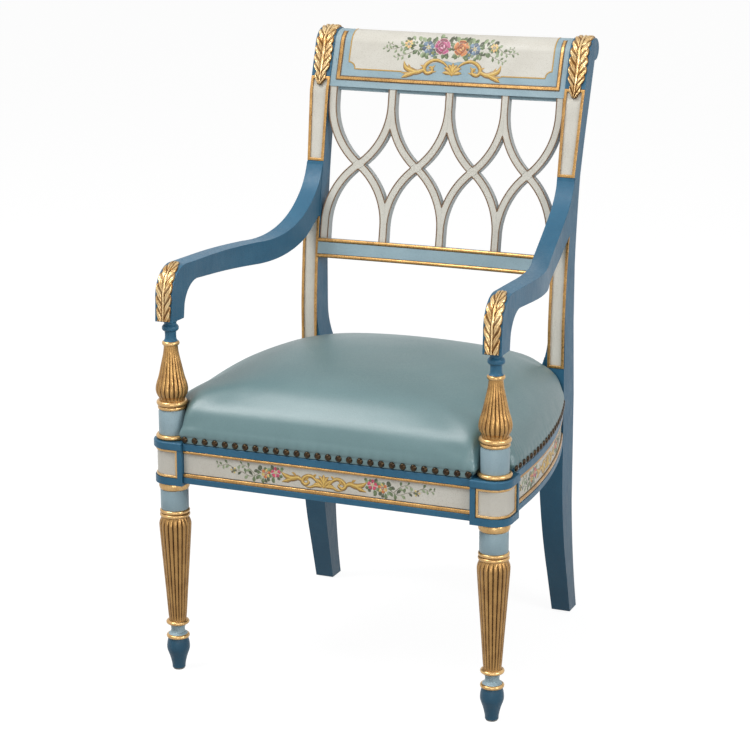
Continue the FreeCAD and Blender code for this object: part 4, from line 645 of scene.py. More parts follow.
carved_gilding = leaf_gilding("carved_gilding", ("f8dba4", "bf8e4a", "5a3411"), 0.22)
arm_leaf_line = np.concatenate([[(-20.0, 562.5)],
                                bowed((-18.0, 592.0), (28.0, 642.5), 15.0)])
arm_leaf_widths = [10.6, 11.6, 12.8, 13.6, 13.9, 13.6, 12.4, 9.6, 4.0]
roll = np.concatenate([[(462.2, 859.0)],
                       bowed((484.0, 920.0), (512.0, 948.0), 6.0),
                       bowed((512.0, 948.0), (534.5, 931.5), 6.4)[1:8]])
crest_leaf_widths = [3.4, 9.4, 10.4, 14.2, 15.6, 16.0, 16.0, 15.8, 15.6, 15.4, 15.2, 14.8, 14.2]
arm_leaf_x, crest_leaf_x = 260.2, 219.0
for side, way in sides.items():
    for spot, line, x, widths, lobes, thickness, sweep in (
            ("arm", arm_leaf_line, arm_leaf_x, arm_leaf_widths, 6, 4.2, 0.22),
            ("crest", roll, crest_leaf_x, crest_leaf_widths, 8, 4.4, 0.18)):
        leaf = leaf_of(f"{spot}_leaf_carved_{side}", line, x * way, widths, lobes, thickness,
                       sweep)
        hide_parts(f"{spot}_leaf_{side}")


# Crest rail
# A board bent across the back and rolled over at its top, painted pale blue. A gilt bead frames
# its face, and inside it a cream tablet with notched corners carries a spray and gilt scrolls.
lean = math.radians(10.4)
bend_radius = 848.0
bend_centre = (466.2 - bend_radius * math.cos(lean), 730.4 + bend_radius * math.sin(lean))
crest_crown = (34.0, 222.0)
crest_face = np.concatenate([[(-1.2, 125.0)], bowed((9.7, 195.6), crest_crown, 6.0, 24),
                             bowed(crest_crown, (51.0, 207.0), 5.0, 24)[1:9]])
crest_run = np.concatenate([crest_face[:-8, 1], crest_crown[1] + run_of(crest_face[-9:])[1:]])


def on_back(across, rise, depth):
    """A point of the bent back, in metres: across it, up its lean, and out behind its sheet.

    In the leaning frame it lies x across, the rise up and the root of r r - x x back, with r the
    bend's radius plus the depth. That is turned about the x axis by the lean and set on the
    centre of the bend.
    """
    level = np.sqrt((bend_radius + depth) ** 2 - across**2)
    back = bend_centre[0] + level * math.cos(lean) + rise * math.sin(lean)
    height = bend_centre[1] - level * math.sin(lean) + rise * math.cos(lean)
    return placed(across, back, height)


def on_crest(across, rise, proud):
    """A point of the crest's face, or proud of it.

    Up to the crown the rise is the height; past it, it runs on along the top as it rolls back.
    """
    ahead = unit(np.gradient(crest_face, crest_run, axis=0))
    depth, height, way_out, way_up = (
        np.interp(rise, crest_run, column) for column in np.hstack([crest_face, ahead]).T)
    return on_back(across, height + proud * way_out, depth - proud * way_up)


eased("crest_rail", "crest_shaped", pale_blue_paint, 1.3, steps=3)
eased("crest_bead", "crest_bead_gilt", antique_gilding, 0.8)
film_proud, film_sunk = 0.3, 0.25


def laid_film(name, outline, place, count):
    """A film of cream paint on a face, between two lines across it given as (across, low, high).

    Each column of the grid runs from the low line to the high one; the film is closed behind.
    """
    at, low, high = np.asarray(outline, float).T
    across = np.unique(np.concatenate([np.linspace(at[0], at[-1], count[0]), at]))[:, None]
    low, high = np.interp(across, at, low), np.interp(across, at, high)
    rise = low + (high - low) * np.linspace(0, 1, count[1])
    front, back = place(across, rise, film_proud), place(across, rise, -film_sunk)
    skin(name, capped(np.concatenate([front, back[:, ::-1]], axis=1)), cream_paint)


tablet_half, tablet_low, tablet_high, tablet_notch = 175.0, 155.2, 226.6, 11.0
turn = np.linspace(0, np.pi / 2, 7)
notch_x = tablet_half - tablet_notch * np.cos(turn)
notch_z = tablet_low + tablet_notch * np.sin(turn)
right_edge = np.stack([notch_x, notch_z], axis=1)
arch_half, arch_top, arch_fall, arch_dip = 62.0, 176.5, 19.0, 3.2
turn = np.linspace(-1, 1, 61)
arch = np.stack([turn * arch_half, arch_top - arch_fall * np.abs(turn) ** 2.2
                 - arch_dip * np.exp(-(turn / 0.13) ** 2)], axis=1)
arch_feet = [(-arch_half - 0.4, tablet_low), (arch_half + 0.4, tablet_low)]
low_line = np.concatenate([right_edge * (-1, 1), arch_feet, arch, right_edge])
low_line = low_line[np.argsort(low_line[:, 0], kind="stable")]
tablet = np.column_stack([low_line, np.full(len(low_line), tablet_high)])
laid_film("crest_tablet", tablet, on_crest, (90, 40))


# Painted ornament
# Hand-painted in oil colour over the cream: each petal, leaf and scroll is one touch of a loaded
# brush, thicker in the middle, with lighter and darker edges.
def touch(line, widths, tint, height=0.45, shade_share=0.3):
    """One touch of the brush along a line, as arrays of place, height and tint.

    Across the line the touch is a low dome that closes under the paint, and it comes to a point
    where its width falls to nothing. The tint darkens from the left edge to the right one.
    """
    line = np.asarray(line, float)
    widths = np.broadcast_to(np.asarray(widths, float), len(line))
    across = np.array([-1.0, -0.6, 0.0, 0.6, 1.0, 0.0])
    dome = np.array([-0.1, 0.75, 1.0, 0.75, -0.1, -0.35])
    place = line[:, None] + left_of(line)[:, None] * (widths[:, None] * across)[..., None]
    full = np.clip(widths / (widths.max() + 1e-9), 0, 1)[:, None] ** 0.5
    rise = dome * height * (0.35 + 0.65 * full)
    light = 1 + shade_share * np.array([0.55, 0.35, 0.1, -0.5, -1.0, 0.0])
    colour = np.clip(np.array(tint[:3]) * light[:, None], 0, 1)
    return place, rise, np.broadcast_to(colour, (len(line), 6, 3))


def curve(points, count):
    """A smooth line through a few points, by the cubic of swept()."""
    return swept(points, max(2, count // (len(points) - 1)))


def petal(foot, tip, width, tint, bend=0.0, fullness=0.62, **more):
    """A leaf or petal: its half-width rises as a sine and is widest at a share of its length."""
    foot, tip = np.asarray(foot, float), np.asarray(tip, float)
    way = tip - foot
    side = np.array([-way[1], way[0]]) * bend
    t = np.linspace(0, 1, 11)
    line = foot + way * t[:, None] + side * (4 * t * (1 - t))[:, None]
    widths = width * np.sin(np.pi * t ** (math.log(0.5) / math.log(fullness)))
    return touch(line, np.clip(widths, 0, None), tint, **more)


def toward(angle):
    """The direction at an angle, turned anticlockwise from the right."""
    return np.array([math.cos(angle), math.sin(angle)])


def dots(centre, reach, count, size, tint):
    """A few small round touches set in a ring."""
    spots = [centre + reach * toward(2 * math.pi * number / count + 0.4)
             for number in range(count)]
    return [petal(spot - (size, 0), spot + (size, 0), size, tint, fullness=0.5, height=0.7)
            for spot in spots]


def flower(centre, radius, petals, tints, heart, turn_by=0.0, open_share=0.45):
    """A ring of petals from a small ring out to the radius, and a heart of dots."""
    ways = [toward(turn_by + 2 * math.pi * number / petals) for number in range(petals)]
    made = [petal(centre + way * radius * 0.12, centre + way * radius, radius * open_share,
                  tints[number % len(tints)], fullness=0.68, shade_share=0.45)
            for number, way in enumerate(ways)]
    return made + dots(centre, radius * 0.22, 5, radius * 0.11, heart)


def rose(centre, radius, deep, middle, light):
    """A full rose: three rings of cupped petals, each an arc round the heart, light at its rim."""
    centre = np.asarray(centre, float)
    made = [petal(centre - (radius * 0.75, 0), centre + (radius * 0.75, 0), radius * 0.72,
                  deep, fullness=0.5, height=0.3)]
    for reach, width, count, tint, start in ((0.74, 0.27, 5, middle, 0.3),
                                             (0.44, 0.19, 4, middle, 0.9),
                                             (0.18, 0.14, 3, light, 0.1)):
        for number in range(count):
            middle_angle = start + 2 * math.pi * number / count
            sweep = np.linspace(-1, 1, 9) * math.pi / count * 1.05
            ring = np.stack([np.cos(middle_angle + sweep), np.sin(middle_angle + sweep)], axis=1)
            widths = radius * width * np.sin(np.linspace(0, np.pi, 9)) ** 0.7
            made.append(touch(centre + ring * radius * reach, widths,
                              deep if number % 2 else tint, shade_share=0.6))
            made.append(touch(centre + ring * radius * (reach + width * 0.6), widths * 0.2,
                              light, height=0.7))
    return made


def painted(name, touches, place):
    """All the touches as one piece, laid on a face by place(across, up, proud)."""
    points, faces, tints, start = [], [], [], 0
    for spot, rise, tint in touches:
        number = start + np.arange(rise.size).reshape(rise.shape)
        points.append(place(spot[..., 0], spot[..., 1], rise + film_proud).reshape(-1, 3))
        faces += rings_of(number) + [number[0].tolist(), number[-1].tolist()[::-1]]
        tints.append(np.pad(tint.reshape(-1, 3), ((0, 0), (0, 1)), constant_values=1))
        start += rise.size
    mesh = mesh_of(name, np.concatenate(points), faces)
    layer = mesh.attributes.new("tint", "FLOAT_COLOR", "POINT")
    layer.data.foreach_set("color", np.concatenate(tints).astype(np.float32).ravel())
    piece_of(name, mesh, oil_colour, flat_angle=80.0)


oil_colour, tree, shader = finish_of("oil_colour", "cream_paint", 0.4)
tint = wire(tree, "Attribute", attribute_name="tint")
wash = cloud(tree, 480.0, 3.0)
painted_with(tree, shader, blend_of(tree, span(tree, wash, 0.35, 0.7, 0.0, 0.16),
                                    tint.outputs["Color"], shade("efe6d2")))
bumped(tree, shader, wash, 0.0002, 0.5)

pink, deep_pink, pale_pink = shade("b8447a"), shade("86244f"), shade("eeb9cb")
orange, deep_orange, pale_orange = shade("cf7430"), shade("9c4a18"), shade("efbf85")
sky_blue, dusk_blue, butter = shade("67829c"), shade("3f5670"), shade("dcc270")
leaf_green, moss, sage, stem_brown = (shade("586f45"), shade("334325"), shade("8c9e78"),
                                      shade("5a5238"))
bead_shadow_brown = shade("54402c")
scroll_gold, scroll_light, scroll_dark = shade("c2963c"), shade("e8c565"), shade("6f4e18")
greens = (leaf_green, moss, leaf_green, sage)


def foliage(centre, reach, count, turn_by=0.0, width=0.19):
    """Leaves fanned out from behind a flower, dark and light by turns."""
    made = []
    for number in range(count):
        way = toward(turn_by + 2 * math.pi * number / count)
        size = reach * (1 + 0.16 * math.sin(2.4 * number))
        made.append(petal(centre + way * reach * 0.4, centre + way * size, reach * width,
                          greens[number % 4], bend=0.12 * (-1) ** number, shade_share=0.5))
    return made


stem_half, leaves_from = 0.45, 0.15


def spray(points, leaf_length, leaves, tints, way=1):
    """A thin trailing stem with pairs of small leaves that grow smaller towards its end."""
    line = curve(points, 24)
    taper = np.linspace(1, 0.35, len(line))
    made = [touch(line, stem_half * taper, stem_brown, height=0.3)]
    for number in range(leaves):
        share = leaves_from + (1 - leaves_from) * (number + 0.5) / leaves
        here = int(share * (len(line) - 1))
        spot = line[here]
        ahead = line[min(here + 1, len(line) - 1)] - spot
        angle = math.atan2(ahead[1], ahead[0]) + (0.95 if number % 2 else -0.95) * way
        size = leaf_length * (1 - 0.45 * share)
        made.append(petal(spot, spot + size * toward(angle), size * 0.26,
                          tints[number % len(tints)], bend=0.1))
    return made


def scroll(points, widths):
    """A gilt scroll: a dark line, a gold one on it and a light one along its crown."""
    line = curve(points, 40)
    wide = np.interp(np.linspace(0, 1, len(line)), np.linspace(0, 1, len(widths)), widths)
    wide = wide * 1.35
    return [touch(line - (0.0, 0.4), wide, scroll_dark, height=0.3, shade_share=0.1),
            touch(line, wide * 0.82, scroll_gold, height=0.6),
            touch(line + (0.0, 0.3), wide * 0.3, scroll_light, height=0.9, shade_share=0.1)]


def mirrored_touches(touches):
    """The same touches on the other side of the middle."""
    return [(spot * (-1, 1), rise, tint) for spot, rise, tint in touches]


def palmette(centre, size):
    """Seven gilt leaves fanned up from a point, the middle one tallest."""
    made = []
    for lean_by, reach, width in ((1.3, 0.8, 0.16), (0.85, 0.92, 0.18), (0.42, 0.94, 0.19),
                                  (0, 1.0, 0.2)):
        for way in ((1, -1) if lean_by else (1,)):
            tip = centre + size * reach * toward(math.pi / 2 - lean_by * way)
            bend = 0.16 * way if lean_by else 0.0
            for share, tint, height, contrast in ((1.0, scroll_dark, 0.3, 0.1),
                                                  (0.78, scroll_gold, 0.7, 0.3),
                                                  (0.25, scroll_light, 0.9, 0.3)):
                made.append(petal(centre, tip, size * width * share, tint, bend=bend,
                                  fullness=0.6, height=height, shade_share=contrast))
    return made


# On the crest: the spray above, and the scrolls round the blue arch under it
def crest_line(start, end):
    """Points of a straight line on the crest's face, close enough to follow its curves."""
    return np.linspace(start, end, 40)


line_width = 1.1
fine = [touch(np.concatenate([crest_line((-tablet_half, 226.0), (-tablet_half, 168.0)),
                              right_edge[::-1] * (-1, 1),
                              crest_line((-160.0, tablet_low), (-86.0, tablet_low))]),
              line_width, scroll_gold, height=0.5)]
# Painted shadow: a thin dark brown line laid along each side of the gilt bead
for x, rise in ((186.3, 142.3), (192.2, 136.3)):
    fine.append(touch(np.concatenate([crest_line((-x, 217.0), (-x, rise + 1.0)),
                                      crest_line((-x, rise), (0.0, rise))]), 1.0, bead_shadow_brown,
                      height=0.35, shade_share=0.1))
fine += mirrored_touches(fine)
half = scroll([(6.0, 163.0), (16.0, 172.5), (30.0, 177.0), (43.0, 172.0), (49.0, 162.5),
               (44.0, 155.0), (35.5, 157.0), (35.0, 163.5), (40.0, 165.5)],
              [0.8, 1.7, 2.4, 2.6, 2.8, 2.4, 2.2, 1.8, 1.2])
half += scroll([(49.0, 160.0), (60.0, 156.0), (70.0, 158.0), (80.0, 163.0), (84.0, 172.5)],
               [2.4, 3.4, 4.2, 3.2, 0.3])
half += scroll([(60.0, 156.5), (70.0, 153.0), (79.0, 149.0), (85.0, 145.5)], [2.0, 3.2, 2.8, 0.3])
for tip, width in (((30.0, 169.0), 1.7), ((27.0, 158.5), 1.5), ((56.0, 167.0), 1.9)):
    half.append(petal((44.0, 160.0), tip, width, scroll_gold, bend=0.12))
for tip, width in (((88.0, 154.0), 1.5), ((76.0, 168.5), 1.6)):
    half.append(petal((66.0, 157.5), tip, width, scroll_gold, bend=-0.1))
scrolls = fine + half + mirrored_touches(half) + palmette((0.0, 151.5), 22.0)
painted("crest_scrolls", scrolls, on_crest)

leaves = []
for x, rise, reach, count, turn_by in (
        (-21.5, 199.0, 19.5, 11, 0.2), (11.5, 198.0, 19.5, 11, 0.5), (-45.8, 197.0, 17.5, 10, 0.4),
        (34.4, 197.0, 17.5, 10, 0.1), (-64.0, 196.0, 12.0, 8, 0.2), (54.0, 197.0, 12.0, 8, 0.6),
        (-79.0, 200.5, 10.5, 6, 0.3), (68.5, 200.5, 10.5, 6, 0.0)):
    leaves += foliage((x, rise), reach, count, turn_by)
spray_middle = (-5.0, 0.0)
for side_way in (1, -1):
    for foot, tip, width in (((30, 186), (24, 178), 3.6), ((48, 190), (50, 179), 3.4),
                             ((56, 192), (66, 184), 3.4), ((60, 199), (72, 196), 3.0),
                             ((40, 204), (44, 213), 3.6), ((54, 204), (60, 214), 3.4),
                             ((18, 207), (22, 216), 3.4), ((70, 203), (80, 211), 3.0),
                             ((8, 189), (6, 179), 3.6), ((64, 206), (71, 214), 2.6),
                             ((30, 204), (31, 215), 3.0), ((6, 208), (2, 217), 3.2),
                             ((46, 187), (38, 178), 3.0), ((74, 196), (82, 188), 2.6)):
        spot, end = np.array([foot, tip]) * (side_way, 1) + spray_middle
        leaves.append(petal(spot, end, width, greens[len(leaves) % 4], bend=0.08 * side_way,
                            shade_share=0.5))
    for points, length, number in (
            ([(66, 198), (81, 199), (92, 193), (105, 191), (116, 195)], 10.5, 9),
            ([(62, 190), (76, 184), (87, 180), (95, 177)], 10.0, 6),
            ([(92, 193), (102, 199), (109, 200)], 6.0, 4)):
        line = np.array(points) * (side_way, 1) + spray_middle
        leaves += spray(line, length, number, (leaf_green, sage, sage), way=side_way)
painted("crest_spray_leaves", leaves, on_crest)

blooms = []
for x in (-45.8, 34.4):
    blooms += flower((x, 197.0), 11.0, 6, (sky_blue, dusk_blue), butter, 0.3, 0.42)
    blooms += flower((x + (8.5 if x < 0 else -8.5), 187.5), 6.5, 5, (dusk_blue, sky_blue),
                     butter, 0.9)
for x in (-79.0, 68.5):
    blooms += flower((x, 200.5), 7.6, 7, (butter, pale_orange), stem_brown, 0.2, 0.36)
blooms += rose((-21.5, 199.0), 14.5, deep_pink, pink, pale_pink)
blooms += rose((11.5, 197.5), 14.5, deep_orange, orange, pale_orange)
painted("crest_spray_blooms", blooms, on_crest)


# Lattice
# Eight bars sawn to interlacing curves are halved into one another and tenoned into the rails.
# They are painted cream on the front and blue-grey on their sides, with a fine line of brown gold
# ruled along both edges of the front.
facing_least = 0.75


def painted_front(piece, finish):
    """Gives a piece's forward faces, square to the leaning back, a second finish."""
    piece.data.materials.append(finish)
    ahead = np.array([0.0, -math.cos(lean), math.sin(lean)])
    normals = np.zeros(len(piece.data.polygons) * 3)
    piece.data.polygons.foreach_get("normal", normals)
    chosen = (normals.reshape(-1, 3) @ ahead > facing_least).astype(np.int32)
    piece.data.polygons.foreach_set("material_index", chosen)


bar_side_paint = worn_paint("bar_side_paint", "cream_paint", ("bcc2c1", "828b8c", "c6cbc9"))
for slope in ("rising", "falling"):
    for number in range(1, 5):
        painted_front(eased(f"splat_bar_{slope}_{number}", f"lattice_bar_{slope}_{number}",
                            bar_side_paint, 0.4), cream_paint)

cell, lattice_half, straight_from, arc_radius = 97.5, 125.0, 99.5, 125.9
bar_half, line_inset, line_half = 6.75, 0.95, 0.95
arc_turn = math.acos(1 - cell / 2 / arc_radius)
turn = np.linspace(0, arc_turn, 22)


def bar_middle(left_x, way):
    """The middle line of one bar from foot to head: upright, an arc, an arc back, upright."""
    first = np.stack([left_x + arc_radius * (1 - np.cos(turn)),
                      -straight_from + arc_radius * np.sin(turn)], axis=1)
    second = np.stack([left_x + cell - arc_radius * (1 - np.cos(turn)),
                       straight_from - arc_radius * np.sin(turn)], axis=1)[::-1]
    line = np.concatenate([[(left_x, -lattice_half), (left_x, -110.0)], first[:-1], second,
                           [(left_x + cell, 110.0), (left_x + cell, lattice_half)]])
    return line * (1, way)


def clear_of_bars(points, own, lines, room):
    """Which points of a line stand outside every other bar. Where two bars run as one, only the
    first of them keeps its line."""
    free = np.ones(len(points), bool)
    for number, other in enumerate(lines):
        if number != own:
            gap = np.linalg.norm(points[:, None] - other[None], axis=2).min(axis=1)
            free &= gap > room + (0.05 if number < own else -0.4)
    return free


def resampled(line, step):
    """A line's points set evenly, about a step apart."""
    run = run_of(line)
    return at_runs(np.linspace(0, run[-1], int(run[-1] / step)), run, line)


middles = [resampled(bar_middle(cell * (c - 2), way), 1.2) for c in range(4) for way in (1, -1)]
ruled, ruled_brown = [], shade("6c4823")
for own, middle in enumerate(middles):
    for hand in (1, -1):
        edge = middle + left_of(middle) * hand * (bar_half - line_inset)
        free = clear_of_bars(edge, own, middles, bar_half - line_inset)
        starts = np.flatnonzero(free & ~np.concatenate([[False], free[:-1]]))
        stops = np.flatnonzero(free & ~np.concatenate([free[1:], [False]]))
        ruled += [touch(edge[a:b + 1], line_half, ruled_brown, height=0.3, shade_share=0.15)
                  for a, b in zip(starts, stops) if b - a > 3]


def on_lattice(across, rise, proud):
    """A point of the lattice's front, or proud of it."""
    return on_back(across, rise, -proud)


painted("lattice_lines", ruled, on_lattice)


# Lower back rail
# Bent like the crest, its face is pale blue between two gilt beads, with mid blue edges.
painted_front(eased("lower_back_rail", "lower_rail_shaped", blue_paint, 1.0), pale_blue_paint)
for end in ("bottom", "top"):
    eased(f"lower_rail_bead_{end}", f"lower_rail_bead_{end}_gilt", antique_gilding, 0.8)


# Seat rails
# Beech rails tenoned into the legs and posts. Their outer faces are blue, with a sunk cream
# panel between two gilt beads that is painted with sprays and scrolls.
for name in ("front_seat_rail", "side_seat_rail_right", "side_seat_rail_left", "back_seat_rail"):
    eased(name, name + "_shaped", blue_paint, 1.0)
for end in ("bottom", "top"):
    eased(f"front_rail_bead_{end}", f"front_rail_bead_{end}_gilt", antique_gilding, 0.9,
          pick=25.0)
    for side in sides:
        eased(f"side_rail_bead_{end}_{side}", f"side_rail_bead_{end}_{side}_gilt",
              antique_gilding, 0.9, pick=25.0)

rail_face_y, rail_sunk = -24.0, 3.5
side_rail_x, side_bend_y = 281.4, 80.0
side_end_x, side_end_y = 228.0, 414.0
side_radius = (((side_rail_x - side_end_x) ** 2 + (side_end_y - side_bend_y) ** 2)
               / (2 * (side_rail_x - side_end_x)))


def on_front_rail(across, height, proud):
    """A point of the front rail's sunk panel, or proud of it."""
    return placed(across, rail_face_y + rail_sunk - proud, height)


def on_side(way, sunk):
    """The place on a side rail for the run along it from the leg: straight to the bend, then
    round an arc that starts along the straight."""
    def place(run, height, proud):
        radius = side_radius - sunk + proud
        turn = np.clip(run - side_bend_y, 0, None) / side_radius
        x = side_rail_x - side_radius + radius * np.cos(turn)
        y = np.minimum(run, side_bend_y) + radius * np.sin(turn)
        return placed(x * way, y, height)
    return place


panel_low, panel_high = 329.2, 359.6
front_panel_end, side_panel_start, side_panel_end = 231.4, 28.6, 402.0
laid_film("front_rail_panel", [(-front_panel_end, panel_low, panel_high),
                               (front_panel_end, panel_low, panel_high)],
          on_front_rail, (60, 4))
for side, way in sides.items():
    laid_film(f"side_rail_panel_{side}", [(side_panel_start, panel_low, panel_high),
                                          (side_panel_end, panel_low, panel_high)],
              on_side(way, rail_sunk), (60, 4))


def rail_ornament(middle, middle_z, share):
    """A palmette with a scroll, two flowers and a trailing spray to each side of it."""
    def at(points):
        return np.array(points) * (share, 1)
    half = scroll(at([(4, -10), (10, -2), (20, 6), (30, 4), (35, -3), (30, -8), (24, -4),
                      (27, 0)]), [0.8, 1.6, 2.4, 2.6, 2.6, 2.2, 1.6, 0.8])
    half += scroll(at([(34, -3), (42, 1), (52, -1), (62, 2), (69, 7)]), [1.8, 3.2, 3.8, 3.0, 0.3])
    half += scroll(at([(50, -1), (59, -5), (68, -8)]), [2.0, 3.0, 0.3])
    half += scroll(at([(5, -8), (14, -8), (22, -11), (30, -11)]), [1.8, 2.0, 1.6, 0.3])
    for foot, tip in (((34, -3), (24, 7)), ((20, 6), (12, 10)), ((44, 1), (52, 8))):
        half.append(petal(*at([foot, tip]), 2.0, scroll_gold, bend=0.15))
    half += foliage(at([(78, 3)])[0], 12.5, 8, 0.3, 0.24)
    half += foliage(at([(97, 0)])[0], 13.0, 8, 0.1, 0.24)
    half += flower(at([(78, 4.5)])[0], 8.6, 5, (shade("d8476c"), shade("b8305a")), butter, 0.3)
    half += flower(at([(94, 1)])[0], 8.0, 6, (orange, butter), deep_orange, 0.7, 0.4)
    for foot, tip in (((86, 6), (84, 13)), ((100, 6), (106, 12)), ((84, -3), (80, -12)),
                      ((96, -6), (92, -13)), ((102, -2), (110, -10)), ((104, 3), (114, 2)),
                      ((72, 8), (66, 14)), ((88, -4), (90, -11))):
        half.append(petal(*at([foot, tip]), 2.8, (leaf_green, moss)[len(half) % 2], bend=0.1))
    half += spray(at([(102, 2), (118, -6), (134, -1), (146, 2)]), 12.0, 7,
                  (leaf_green, moss, sage))
    half += flower(at([(148, 0)])[0], 5.6, 6, (butter, stem_brown), stem_brown, 0.1, 0.3)
    half += spray(at([(146, 2), (158, 8), (168, 5), (177, 7)]), 9.5, 6, (sage, leaf_green))
    half += spray(at([(112, -3), (122, 6), (132, 10), (140, 8)]), 9.5, 5, (sage, leaf_green))
    made = half + mirrored_touches(half) + palmette((0.0, -11.0), 22.0)
    return [(spot + (middle, middle_z), rise, tint) for spot, rise, tint in made]


ornament_z = 343.6
painted("front_rail_ornament", rail_ornament(0.0, ornament_z, 1.0), on_front_rail)
for side, way in sides.items():
    painted(f"side_rail_ornament_{side}", rail_ornament(204.0, ornament_z, 0.96),
            on_side(way, rail_sunk))


# Inside the seat
# Glued beech corner blocks brace the frame, jute webbing carries the stuffing, and a cambric
# cover is tacked under the rails.
beech, tree, shader = finish_of("raw_beech", "bare_wood", 0.62)
grain = cloud(tree, 30.0, 6.0, (1.0, 1.0, 9.0))
flecks = cloud(tree, 500.0, 2.0, (1.0, 0.12, 1.0))
tone = blend_of(tree, span(tree, grain, 0.3, 0.7, 0.0, 1.0), shade("c39d6f"), shade("a67f52"))
painted_with(tree, shader, blend_of(tree, span(tree, flecks, 0.55, 0.7, 0.0, 0.5), tone,
                                    shade("7d5a36")))
bumped(tree, shader, grain, 0.0002)
for end in ("front", "back"):
    for side in sides:
        eased(f"corner_block_{end}_{side}", f"corner_block_{end}_{side}_planed", beech, 0.8)


def threads(tree, pitches, swing):
    """Threads over one another along each axis, from 0 where they dip to 1 where they rise."""
    here = wire(tree, "SeparateXYZ", {"Vector": place_of(tree, as_it_is)}).outputs
    waves = [math_of(tree, "SINE", math_of(tree, "MULTIPLY", here[axis], 2 * math.pi / pitch))
             for axis, pitch in zip("XYZ", pitches)]
    weave = math_of(tree, "ADD", math_of(tree, "MULTIPLY", *waves[:2]), waves[2])
    return span(tree, weave, -swing, swing, 0.0, 1.0)


def woven(name, slot, colours, pitch, roughness, depth):
    """Plain cloth: threads across and along over one another, darker where they dip."""
    first, second, gap = map(shade, colours)
    material, tree, shader = finish_of(name, slot, roughness, Sheen_Weight=0.25,
                                       Sheen_Roughness=0.5)
    weave = threads(tree, [pitch] * 3, 1.6)
    tone = blend_of(tree, span(tree, cloud(tree, 90.0, 4.0), 0.3, 0.7, 0.0, 1.0), first, second)
    painted_with(tree, shader, blend_of(tree, span(tree, weave, 0.0, 0.45, 0.6, 0.0), tone, gap))
    bumped(tree, shader, weave, depth)
    return material


def oval(half_width, half_height, width_power, height_power, count):
    """A closed oval: its cosine and its sine are raised to powers, low ones for a squarer one."""
    across, up = np.cos(full_turn(count)), np.sin(full_turn(count))
    return np.stack([half_width * np.sign(across) * np.abs(across) ** width_power,
                     half_height * np.sign(up) * np.abs(up) ** height_power], axis=1) * mm


jute = woven("jute_webbing", "webbing", ("a98b5d", "8f7248", "57432a"), 0.0032, 0.85, 0.0006)
cambric = woven("black_cambric", "dust_cover", ("2b2a2b", "363436", "121213"), 0.0014, 0.9,
                0.0002)
strap_half, strap_thick, web_z, web_wave = 25.0, 1.4, 393.5, 0.75
strap_front, strap_length, first_y, pitch_x, pitch_y = -15.0, 449.0, 66.0, 100.0, 92.0
strap_profile = oval(strap_half, strap_thick / 2, 0.3, 1, 16)
share = np.linspace(0, 1, 97)
for number in range(4):
    x, y = pitch_x * (number - 1.5), first_y + pitch_y * number
    at_y = strap_front + strap_length * share
    over = web_wave * np.cos(np.pi * (at_y - first_y) / pitch_y + np.pi * number)
    along = placed(x, at_y, web_z + over)
    half_length = 268.0 - 13.0 * number
    at_x = (share * 2 - 1) * half_length
    over = web_wave * np.cos(np.pi * at_x / pitch_x + np.pi * (number + 0.5))
    across = placed(at_x, y, web_z - over)
    for name, path, side_way, length in (
            (f"strap_along_{number}", along, (1, 0, 0), strap_length),
            (f"strap_across_{number}", across, (0, 1, 0), half_length * 2)):
        strap = carried(name, path, side_way, strap_profile, jute)
        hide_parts("seat_webbing")

cover_front, cover_back, cover_low, cover_thick, cover_sag = -15.0, 437.0, 312.0, 0.9, 3.0
rows = np.linspace(0, 1, 30)[:, None]
columns = np.linspace(-1, 1, 40)
cover_y = cover_front + (cover_back - cover_front) * rows
half = np.interp(cover_y, [-15, 36.9, 37.1, 80, 396, 396.1, 437],
                 [222.5, 222.5, 272.0, 272.0, 222.0, 181.0, 181.0])
sag = cover_sag * (1 - columns**4) * np.clip(4 * rows * (1 - rows), 0, 1) ** 0.5
under = placed(columns * half, cover_y, cover_low - sag)
over = placed(columns * half, cover_y, cover_low + cover_thick - sag)
cover = skin("dust_cover_cloth", capped(np.concatenate([under, over[:, ::-1]], axis=1)), cambric)
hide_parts("dust_cover")


# Cushion
# Horsehair and foam under a satin cover drawn tight over the rails: crowned on top, rolled over
# at the front, cut round the arm supports and the posts, and held by close-set nails.
cushion_centre_y, cushion_low, cushion_high = 208.0, 381.0, 486.5
plan_shares = (0.985, 1.0, 1.003, 1.004, 0.988, 0.949, 0.878, 0.784, 0.639, 0.451, 0.22, 0.0)
rise_shares = (0.0, 0.065, 0.193, 0.33, 0.456, 0.563, 0.68, 0.791, 0.898, 0.966, 0.995, 1.0)
crown_half_x, crown_half_y = 272.0, 232.0
front_corner, back_corner = 29.0, 18.0
plan_back, plan_back_half = 445.6, 227.0
support_x, cover_gap = 260.0, 22.8
post_edge_x, post_edge_y = 189.0, 403.4
ray_step, longest_ray = 0.4, 380.0


def in_plan(x, y):
    """Whether a point is inside the seat's plan: its rails' faces with two corner rounds."""
    x = np.abs(x)
    side = np.where(y < side_bend_y, side_rail_x, side_rail_x - side_radius
                    + np.sqrt(np.clip(side_radius**2 - (y - side_bend_y) ** 2, 0, None)))
    inside = (y > rail_face_y) & (y < plan_back) & (x < side)
    for cx, cy, reach, ahead in ((side_rail_x - front_corner, rail_face_y + front_corner,
                                  front_corner, -1),
                                 (plan_back_half - back_corner, plan_back - back_corner,
                                  back_corner, 1)):
        beyond = (x > cx) & ((y - cy) * ahead > 0)
        inside &= ~(beyond & (np.hypot(x - cx, y - cy) > reach))
    return inside


def in_notch(x, y):
    """Whether a point is in the room cut out for an arm support or a back post."""
    x = np.abs(x)
    near = np.hypot(x - support_x, y) < cover_gap
    support = ((x > support_x - cover_gap) & (y < cover_gap)
               & ((x > support_x) | (y < 0) | near))
    post = (x > post_edge_x) & (y > post_edge_y)
    return support | post


